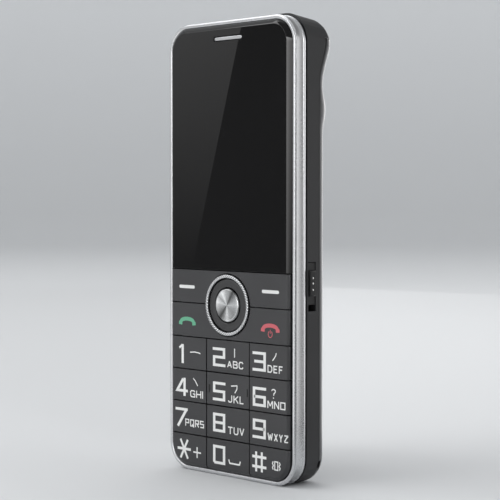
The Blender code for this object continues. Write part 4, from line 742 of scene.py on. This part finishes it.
# each key: its row's height, digit and letters with their spans, and free strokes drawn in mm
keyPrint = {
    "key_1": {"row": 32.0, "bars": [(-19.2, 31.75, -19.2, 37.45)], "flag": [(-20.65, 36.3, -19.35, 37.2)],
              "marks": [(-15.9, 35.25, -13.9, 35.45, -12.2, 35.3, -11.5, 35.1)]},
    "key_2": {"row": 32.0, "digit": ("2", -6.12, -0.98), "letters": ("ABC", -0.15, 6.55),
              "marks": [(2.9, 35.05, 2.9, 37.65)]},
    "key_3": {"row": 32.0, "digit": ("3", 10.3, 15.5), "letters": ("DEF", 16.15, 22.15),
              "marks": [(19.6, 37.6, 19.35, 36.9, 18.8, 36.1, 18.1, 35.4)]},
    "key_4": {"row": 22.0, "digit": ("4", -22.1, -16.9), "letters": ("GHI", -15.9, -10.35),
              "marks": [(-14.6, 27.6, -13.7, 26.9, -12.65, 25.5)]},
    "key_5": {"row": 22.0, "digit": ("5", -6.1, -0.98), "letters": ("JKL", 0.15, 6.7),
              "marks": [(1.45, 26.75, 4.0, 27.05), (3.95, 27.05, 3.85, 26.0, 3.0, 24.85)]},
    "key_6": {"row": 22.0, "digit": ("6", 10.3, 15.5), "letters": ("MNO", 16.1, 23.1),
              "marks": [(17.8, 26.9, 18.05, 27.25, 18.7, 27.35, 19.25, 27.05, 19.2, 26.6, 18.65, 26.15,
                         18.55, 25.6), (18.5, 25.1, 18.5, 24.75)]},
    "key_7": {"row": 12.9, "digit": ("7", -22.3, -16.8), "letters": ("PQRS", -18.1, -9.95), "letterLow": 13.2},
    "key_8": {"row": 12.9, "digit": ("8", -6.1, -0.98), "letters": ("TUV", 0.15, 6.85)},
    "key_9": {"row": 12.9, "digit": ("9", 10.3, 15.5), "letters": ("WXYZ", 16.15, 24.05)},
    "key_star": {"row": 3.5, "thin": [(-14.6, 5.75, -11.3, 5.75), (-12.95, 7.35, -12.95, 4.15)],
                 "strong": [(-20.2, 9.05, -17.0, 3.4), (-17.0, 9.05, -20.2, 3.4), (-21.5, 6.25, -15.7, 6.25)]},
    "key_0": {"row": 3.5, "digit": ("0", -6.1, -0.98), "thin": [(0.5, 5.4, 0.9, 4.35, 4.9, 4.35, 5.25, 5.35)]},
    "key_hash": {"row": 3.5, "strong": [(11.65, 9.1, 11.65, 3.4), (13.9, 9.1, 13.9, 3.4),
                                        (10.1, 7.65, 15.7, 7.65), (10.1, 4.85, 15.7, 4.85)],
                 "marks": [(19.0, 4.8, 20.2, 4.8, 20.2, 7.1, 19.0, 7.1, 19.0, 4.8),
                           (18.4, 7.1, 18.1, 6.5, 18.5, 5.95, 18.1, 5.4, 18.4, 4.8),
                           (20.8, 7.1, 21.1, 6.5, 20.7, 5.95, 21.1, 5.4, 20.8, 4.8)]}}


def points(run):
    return list(zip(run[::2], run[1::2]))


def inBox(shape, xSpan, zSpan, penX, penZ):
    # unit strokes set into a box, drawn in by half a pen
    left, right = xSpan[0] + penX / 2, xSpan[1] - penX / 2
    low, high = zSpan[0] + penZ / 2, zSpan[1] - penZ / 2
    return [[(left + u * (right - left), low + v * (high - low)) for u, v in points(run)] for run in shape]


def lettersInBox(text, xSpan, low):
    pen, gap = inkLook["letterPen"], inkLook["gap"]
    widths = [letterWidths.get(c, 1.0) for c in text]
    unit = (xSpan[1] - xSpan[0] - gap * (len(text) - 1) - pen * len(text)) / sum(widths)
    lines, x = [], xSpan[0]
    for c, width in zip(text, widths):
        wide = pen + width * unit
        lines += inBox(letterShapes[c], (x, x + wide), (low, low + inkLook["letterHigh"]), pen, pen)
        x += wide + gap
    return lines


def inkStrokes(target, lines, pen, stretch=1.0, layer=0):
    # ribbons stood on the face along each stroke, given the pen's width, then bent to the crown
    bm = bmesh.new()
    for index, line in enumerate(lines):
        dense = [line[0]]
        for start, end in zip(line, line[1:]):
            count = max(1, math.ceil(math.dist(start, end) / inkLook["segment"]))
            dense += [(start[0] + (end[0] - start[0]) * k / count, start[1] + (end[1] - start[1]) * k / count)
                      for k in range(1, count + 1)]
        lift = inkLook["proud"] + inkLook["step"] * (index + layer)
        ring = dense[0] == dense[-1]
        verts = [bm.verts.new(at(x / stretch, -lift, z)) for x, z in (dense[:-1] if ring else dense)]
        edges = [bm.edges.new(pair) for pair in zip(verts, verts[1:] + (verts[:1] if ring else []))]
        made = ops.extrude_edge_only(bm, edges=edges)["geom"]
        ops.translate(bm, vec=(0, inkLook["body"] * mm, 0),
                            verts=[g for g in made if isinstance(g, bmesh.types.BMVert)])
    strokes = toObject("strokes", bm)
    step = strokes.modifiers.new("pen", "SOLIDIFY")
    step.thickness, step.offset, step.use_even_offset, step.use_rim = pen * mm, 0.0, True, True
    bakeModifiers(strokes)
    for vert in strokes.data.vertices:
        vert.co.x *= stretch
        vert.co.y += crown(vert.co.x / mm, vert.co.z / mm) * mm
    target.from_mesh(strokes.data)
    bpy.data.objects.remove(strokes)


def printKeys():
    look = inkLook
    pen, stretch = look["digitPen"], look["digitStretch"]
    for key, plan in keyPrint.items():
        bm = bmesh.new()
        row = plan["row"]
        if "digit" in plan:
            shape, *span = plan["digit"]
            strokes = inBox(digitShapes[shape], span, (row, row + look["digitHigh"]), pen * stretch, pen)
            inkStrokes(bm, strokes, pen, stretch)
        inkStrokes(bm, map(points, plan.get("bars", [])), pen, stretch)
        for kind, layer in (("flag", 1), ("strong", 0), ("thin", 4), ("marks", 4)):
            inkStrokes(bm, map(points, plan.get(kind, [])), look[kind + "Pen"], layer=layer)
        if "letters" in plan:
            word, *span = plan["letters"]
            low = plan.get("letterLow", row - look["letterSink"])
            inkStrokes(bm, lettersInBox(word, span, low), look["letterPen"], layer=2)
        dress(toObject(key + "Print", bm), key, whiteInk, "key_plastic")


# the soft keys' bars, the two handsets and the raised nibs beside the 5
sideMarks = {
    "bar": (13.9, 20.6, 54.15, 55.1), "handsetPen": 1.12, "footPen": 1.45,
    "green": (-17.15, 44.15), "red": (17.2, 44.2),
    "arch": ((2.85, -0.35), (2.74, 0.1), (2.42, 0.46), (1.85, 0.74), (1.0, 0.92), (0.0, 0.98)),
    "foot": ((2.86, 0.1), (2.95, -0.85)),
    "sign": (17.2, 42.75), "signWide": 0.8, "signHigh": 0.95, "signTurns": (35, 326, 29),
    "signBar": [(17.2, 44.0), (17.2, 42.9)], "signPen": 0.22,
    "nibs": (-7.67, 8.09), "nibZ": (24.2, 26.5), "nibWide": 0.42, "nibRise": 0.1}


def handset(centre):
    # an arched handle between two hanging ends
    x, z = centre
    half = [(x + u, z + v) for u, v in sideMarks["arch"]]
    arch = half + [(2 * x - px, pz) for px, pz in half[-2::-1]]
    feet = [[(x + side * u, z + v) for u, v in sideMarks["foot"]] for side in (-1, 1)]
    return arch, feet


def printSideKeys():
    look = sideMarks
    for key, sign in (("key_soft_left", -1), ("key_soft_right", 1)):
        span = sorted((sign * look["bar"][0], sign * look["bar"][1]))
        ends = (look["bar"][3] - look["bar"][2]) / 2 - 0.01
        bm = plate(span, (-inkLook["proud"], 0.04), look["bar"][2:], ends, ends, 8)
        dress(toObject(key + "Print", bm), key, whiteInk, "key_plastic")
    for key, place, ink in (("key_call", "green", greenInk), ("key_end", "red", redInk)):
        bm = bmesh.new()
        arch, feet = handset(look[place])
        inkStrokes(bm, [arch], look["handsetPen"])
        inkStrokes(bm, feet, look["footPen"], layer=1)
        if key == "key_end":
            (x, z), wide, high = look["sign"], look["signWide"], look["signHigh"]
            turns = [math.radians(turn) for turn in range(*look["signTurns"])]
            ring = [(x + wide * math.sin(turn), z + high * math.cos(turn)) for turn in turns]
            inkStrokes(bm, [ring, look["signBar"]], look["signPen"], layer=3)
        dress(toObject(key + "Print", bm), key, ink, "key_plastic")
    for index, x in enumerate(look["nibs"]):
        half = look["nibWide"] / 2
        bm = plate(around(x, half), (-look["nibRise"], 0.05), look["nibZ"], half - 0.01, half - 0.01, 6)
        dress(toObject(f"guideNib{index}", bm), "key_5", nibShadeTone, "key_plastic")


printKeys()
printSideKeys()
print("key prints laid")


# Navigation key: knurled ring, silky rocker, faced aluminium button

navLook = {
    "z": 49.956, "ridges": 64, "ridgeDeep": 0.12, "ridgeMiddle": 8.36, "lean": 1.1, "ridgeFront": -0.1,
    "ring": ((7.88, 2.2), (7.88, -0.32), (7.92, -0.45), (8.02, -0.53), (8.18, -0.56), (8.36, -0.57),
             (8.54, -0.56), (8.7, -0.53), (8.8, -0.45), (8.84, -0.3), (8.84, 2.2)),
    "rocker": ((5.2, 1.5), (5.2, 0.12), (5.28, 0.0), (5.45, -0.05), (6.2, -0.09), (7.0, -0.1), (7.35, -0.05),
               (7.5, 0.06), (7.55, 0.25), (7.55, 1.5)),
    "button": ((0, -0.3), (1.5, -0.31), (3.0, -0.35), (4.1, -0.42), (4.3, -0.45), (4.45, -0.43), (4.66, -0.3),
               (4.8, -0.13), (4.85, 0.02), (4.85, 1.6), (4.6, 1.9), (0, 1.9)), "buttonPitch": 0.16,
    # the painted reflection wedges: an angle round the middle, then a tone
    "wedges": ((-180, 0.62), (-152, 0.36), (-127, 0.08), (-108, 0.4), (-88, 0.92), (-68, 0.55), (-42, 0.46),
               (-12, 0.6), (4, 0.82), (30, 0.45), (57, 0.08), (76, 0.4), (96, 0.5), (118, 0.9), (142, 0.42),
               (166, 0.85), (180, 0.62))}


def makeNavigation():
    look = navLook
    bm = spun(look["ring"], look["z"], look["ridges"] * 6, closed=True)
    groove = bm.verts.layers.float.new("groove")
    for vert in bm.verts:    # rolled ridges across the ring's front, leaning as a rope's strands do
        depth = (vert.co.y - faceY) / mm
        x, z = vert.co.x / mm, vert.co.z / mm - look["z"]
        if depth < look["ridgeFront"]:
            outwards = math.hypot(x, z) - look["ridgeMiddle"]
            turn = math.atan2(z, x) * look["ridges"] + look["lean"] * outwards * math.pi / 0.5
            hollow = (1 - math.cos(turn)) / 2
            # the groove mask also places the ring's painted shade in the hollows
            vert[groove] = hollow ** 2
            vert.co.y += look["ridgeDeep"] * hollow * mm
    ring = toObject("knurledRing", bm)
    ring.data.shade_smooth()
    ring.data.set_sharp_from_angle(angle=math.radians(60))
    dress(ring, "root", knurledChrome, "silver_frame", "nav_ring")
    rocker = turned("rockerDisc", look["rocker"], look["z"], 128, closed=True)
    dress(rocker, "nav_rocker", softTouch, "key_plastic", "nav_rocker")
    button = turned("okDisc", look["button"], look["z"], 128, 30)
    metal = spunMetal("lathe-faced aluminium", look["z"], look["buttonPitch"], look["wedges"])
    dress(button, "ok_button", metal, "brushed_metal", "ok_button")


makeNavigation()
print("navigation key made")


# Rear shell: the housing and the lift-off back, with softened edges

# the last five numbers place the painted highlight on the back's rounded edges: how far back they face as it
# rises and falls, and its reach in from the outline
shellLook = {
    "rimDepth": 5.8, "rimTurn": 1.2, "rimRound": 0.32, "seamShift": 0.17, "half": 25.8, "high": 132.7,
    "corner": 8.0, "near": 0.12, "steps": 3, "sharp": 28, "wearFrom": 0.06, "wearFull": 0.3,
    "wearLate": 0.8, "wearUntil": 0.97, "wearReach": 3.2}


def fromOutline(place):    # how far inside the phone's outline a point lies, in mm
    look = shellLook
    end = min(place.z / mm, look["high"] - place.z / mm)
    return inwards(look["half"] - abs(place.x) / mm, end, look["corner"])


def closeSeam(bm):
    # the rim's outer edge moves out along the rim's own facing, so that a fine line is left
    bm.normal_update()
    moves = {}
    for edge in bm.edges:
        if len(edge.link_faces) == 2 and all(fromOutline(v.co) < shellLook["near"] for v in edge.verts):
            rim, skin = sorted((f.normal for f in edge.link_faces), key=lambda n: n.y - max(n.z - 0.6, 0))
            if abs(skin.y) < 0.3 and abs(rim.x) < 0.3 and (rim.y < -0.5 or rim.z > 0.6):
                for vert in edge.verts:
                    moves.setdefault(vert, []).append(rim.copy())
    for vert, ways in moves.items():
        vert.co += sum(ways, Vector()) / len(ways) * shellLook["seamShift"] * mm


def markPaintedHighlight(bm):
    # where the back's rounded edges turn from the sides to the back, they get a painted highlight, paler and
    # smoother
    look = shellLook
    bm.normal_update()
    highlight = bm.verts.layers.float.new("edgeWear")
    for vert in bm.verts:
        if fromOutline(vert.co) < look["wearReach"]:
            rising = (vert.normal.y - look["wearFrom"]) / (look["wearFull"] - look["wearFrom"])
            falling = (look["wearUntil"] - vert.normal.y) / (look["wearUntil"] - look["wearLate"])
            vert[highlight] = max(0.0, min(1.0, rising, falling))


def roundRim(bm):
    look = shellLook
    level = faceY + look["rimDepth"] * mm
    rim = [e for e in bm.edges if len(e.link_faces) == 2 and e.calc_face_angle(0) > look["rimTurn"]
           and all(abs(v.co.y - level) < 0.02 * mm and fromOutline(v.co) < look["near"] for v in e.verts)]
    bevelEdges(bm, rim, look["rimRound"], look["steps"])


def makeShell():
    housing, back = mergedCopy("rear_housing", "housingShell"), mergedCopy("rear_cover", "liftOffBack")
    reshape(housing, roundRim)
    reshape(back, closeSeam, markPaintedHighlight)
    dress(softened(housing, shellLook["sharp"]), "root", erodedShell, "housing_plastic", "rear_housing")
    dress(softened(back, shellLook["sharp"]), "rear_cover", paintedHighlightShell, "housing_plastic", "rear_cover")


makeShell()
print("rear shell dressed")


# Slide switch: the lever with its softened grip and three studs

# the lever's plate is widened in its slot, and the grip on it is lowered and its sides are sloped
switchLook = {
    "edge": 0.12, "steps": 2, "studX": 26.29, "studDepth": 7.8, "studZ": (58.5, 57.0, 55.25),
    "stud": ((0, -0.1), (0.13, -0.09), (0.24, -0.05), (0.31, 0.02), (0.33, 0.12), (0.33, 0.3)),
    "plate": (23.8, 25.65), "plateSpan": (6.33, 9.37), "stemHalf": 1.2, "gripRise": 0.95, "top": 26.3,
    "spread": 0.5}


def edged(obj, width, steps, angle=40):    # a small live bevel on the sharp edges, then even shading
    step = obj.modifiers.new("soft edges", "BEVEL")
    step.width, step.segments, step.limit_method = width * mm, steps, "ANGLE"
    step.angle_limit = math.radians(angle)
    step.use_clamp_overlap = True
    step.miter_outer = "MITER_ARC"
    return softened(obj, 45)


def makeSwitch():
    look = switchLook
    lever = mergedCopy("torch_slider", "slideLever")
    middle, base = sum(look["plateSpan"]) / 2, look["plate"][1]
    rise = look["top"] - base
    for vert in lever.data.vertices:
        x, depth = vert.co.x / mm, (vert.co.y - faceY) / mm
        if look["plate"][0] < x < base and abs(depth - middle) > look["stemHalf"]:
            vert.co.y = faceY + look["plateSpan"][depth > middle] * mm
        elif x > base:
            out = base + (x - base) * rise / look["gripRise"]
            slope = look["spread"] * ((look["top"] - out) / rise - 0.5)
            vert.co.x = out * mm
            vert.co.y += math.copysign(slope, depth - middle) * mm
    lever = edged(lever, look["edge"], look["steps"])
    dress(lever, "torch_slider", switchBlack, "housing_plastic", "torch_slider")
    for index, z in enumerate(look["studZ"]):
        bm = stood(spun(look["stud"], 0, 24), math.pi / 2, "Z", at(look["studX"], look["studDepth"], z))
        stud = toObject(f"leverStud{index}", bm)
        stud.data.shade_smooth()
        dress(stud, "torch_slider", studMetal, "brushed_metal")


makeSwitch()
print("slide switch made")


# Camera window in the back, its rim and lens, and the torch's lens in the top end

windowLook = {
    "z": 105.6,
    "glass": ((0, 15.08), (2.0, 15.1), (2.7, 15.12), (2.92, 15.1), (3.0, 15.0), (3.0, 14.45), (0, 14.45)),
    "rim": ((2.86, 15.0), (2.86, 15.14), (2.93, 15.2), (3.08, 15.22), (3.18, 15.15), (3.2, 15.0), (3.2, 14.5),
            (2.86, 14.5)),
    "lens": ((0, 15.22), (0.35, 15.215), (0.7, 15.19), (0.95, 15.14), (1.02, 15.1), (1.02, 14.9), (0, 14.9)),
    "lensRing": ((1.04, 15.0), (1.04, 15.15), (1.1, 15.17), (1.32, 15.13), (1.36, 15.0))}
torchLook = {
    "depth": 9.5, "top": 132.3,
    "lens": ((0, 0.0), (0.9, 0.03), (1.6, 0.1), (2.05, 0.2), (2.24, 0.34), (2.3, 0.55), (2.3, 2.9), (0, 2.9))}


def makeWindow():
    look, z = windowLook, windowLook["z"]
    glass = turned("cameraWindow", look["glass"], z, 72, 30)
    dress(glass, "rear_cover", blackGlass, "screen_glass", "camera_window")
    dress(turned("windowRim", look["rim"], z, 72, 50, True), "rear_cover", chromeRim, "silver_frame")
    dress(turned("lensDome", look["lens"], z, 48, 50), "rear_cover", coatedLens, "screen_glass")
    dress(turned("lensRing", look["lensRing"], z, 48, 50, True), "rear_cover", filledNylon, "black_plastic")


def makeTorchLens():
    look = torchLook
    bm = stood(spun(look["lens"], 0, 48), -math.pi / 2, "X", at(0, look["depth"], look["top"]))
    dress(softened(toObject("torchDome", bm), 50), "root", clearPc, "clear_lens", "torch_lens")


makeWindow()
makeTorchLens()
print("window and torch made")


# Inside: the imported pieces, edges softened where the open back shows them

# each piece: its finish, the width of its softened edges and their steps
insideLook = {
    "battery": (cellWrap, 0.7, 4), "battery_connector": (filledNylon, 0.12, 2),
    "sim_holder_left": (tinPlate, 0.1, 2), "sim_holder_right": (tinPlate, 0.1, 2),
    "memory_card_holder": (tinPlate, 0.1, 2), "sim_card_left": (cardPvc, 0.06, 1),
    "sim_card_right": (cardPvc, 0.06, 1), "camera_module": (filledNylon, 0.2, 2),
    "loudspeaker": (filledNylon, 0.35, 3), "vibration_motor": (tinPlate, 0.15, 2),
    "shield_can_radio": (tinPlate, 0.2, 2), "shield_can_power": (tinPlate, 0.2, 2),
    "torch_switch": (tinPlate, 0.08, 1)}
insideSlots = {
    cellWrap: "battery_wrap", filledNylon: "black_plastic", tinPlate: "plated_steel",
    cardPvc: "card_plastic"}
insideFinish = {
    "front_chassis": filledNylon, "keypad_mat": siliconeRubber, "dome_sheet": domeFilm,
    "main_board": solderMask, "antenna": polyimide, "microphone": tinPlate, "display_module": offPanel,
    "display_flex": polyimide, "earpiece": filledNylon, "speaker_mesh": meshSteel,
    "vibration_weight": screwSteel, "torch_led": phosphor, "usb_socket": tinPlate, "audio_jack": filledNylon,
    "nav_pivot": filledNylon}
insideFinish.update((node, screwSteel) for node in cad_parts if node.startswith("case_screw"))
contactLook = {"xs": (-2.4, 0.0, 2.4), "wide": 1.3, "deep": (9.2, 11.2), "z": (35.86, 36.1)}


def makeInside():
    for node, (material, width, steps) in insideLook.items():
        words = node.split("_")
        name = words[0] + "".join(w.title() for w in words[1:]) + "Body"
        dress(edged(mergedCopy(node, name), width, steps), "root", material, insideSlots[material], node)
    for node, material in insideFinish.items():
        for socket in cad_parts[node].material_slots:
            socket.material = material
    for index, x in enumerate(contactLook["xs"]):    # the cell's plated pads, facing its connector
        bm = plate(around(x, contactLook["wide"] / 2), contactLook["deep"], contactLook["z"])
        bevelEdges(bm, bm.edges[:], 0.03, 1)
        dress(toObject(f"cellPad{index}", bm), "root", goldPlate, "plated_steel")


makeInside()
print("inside dressed")
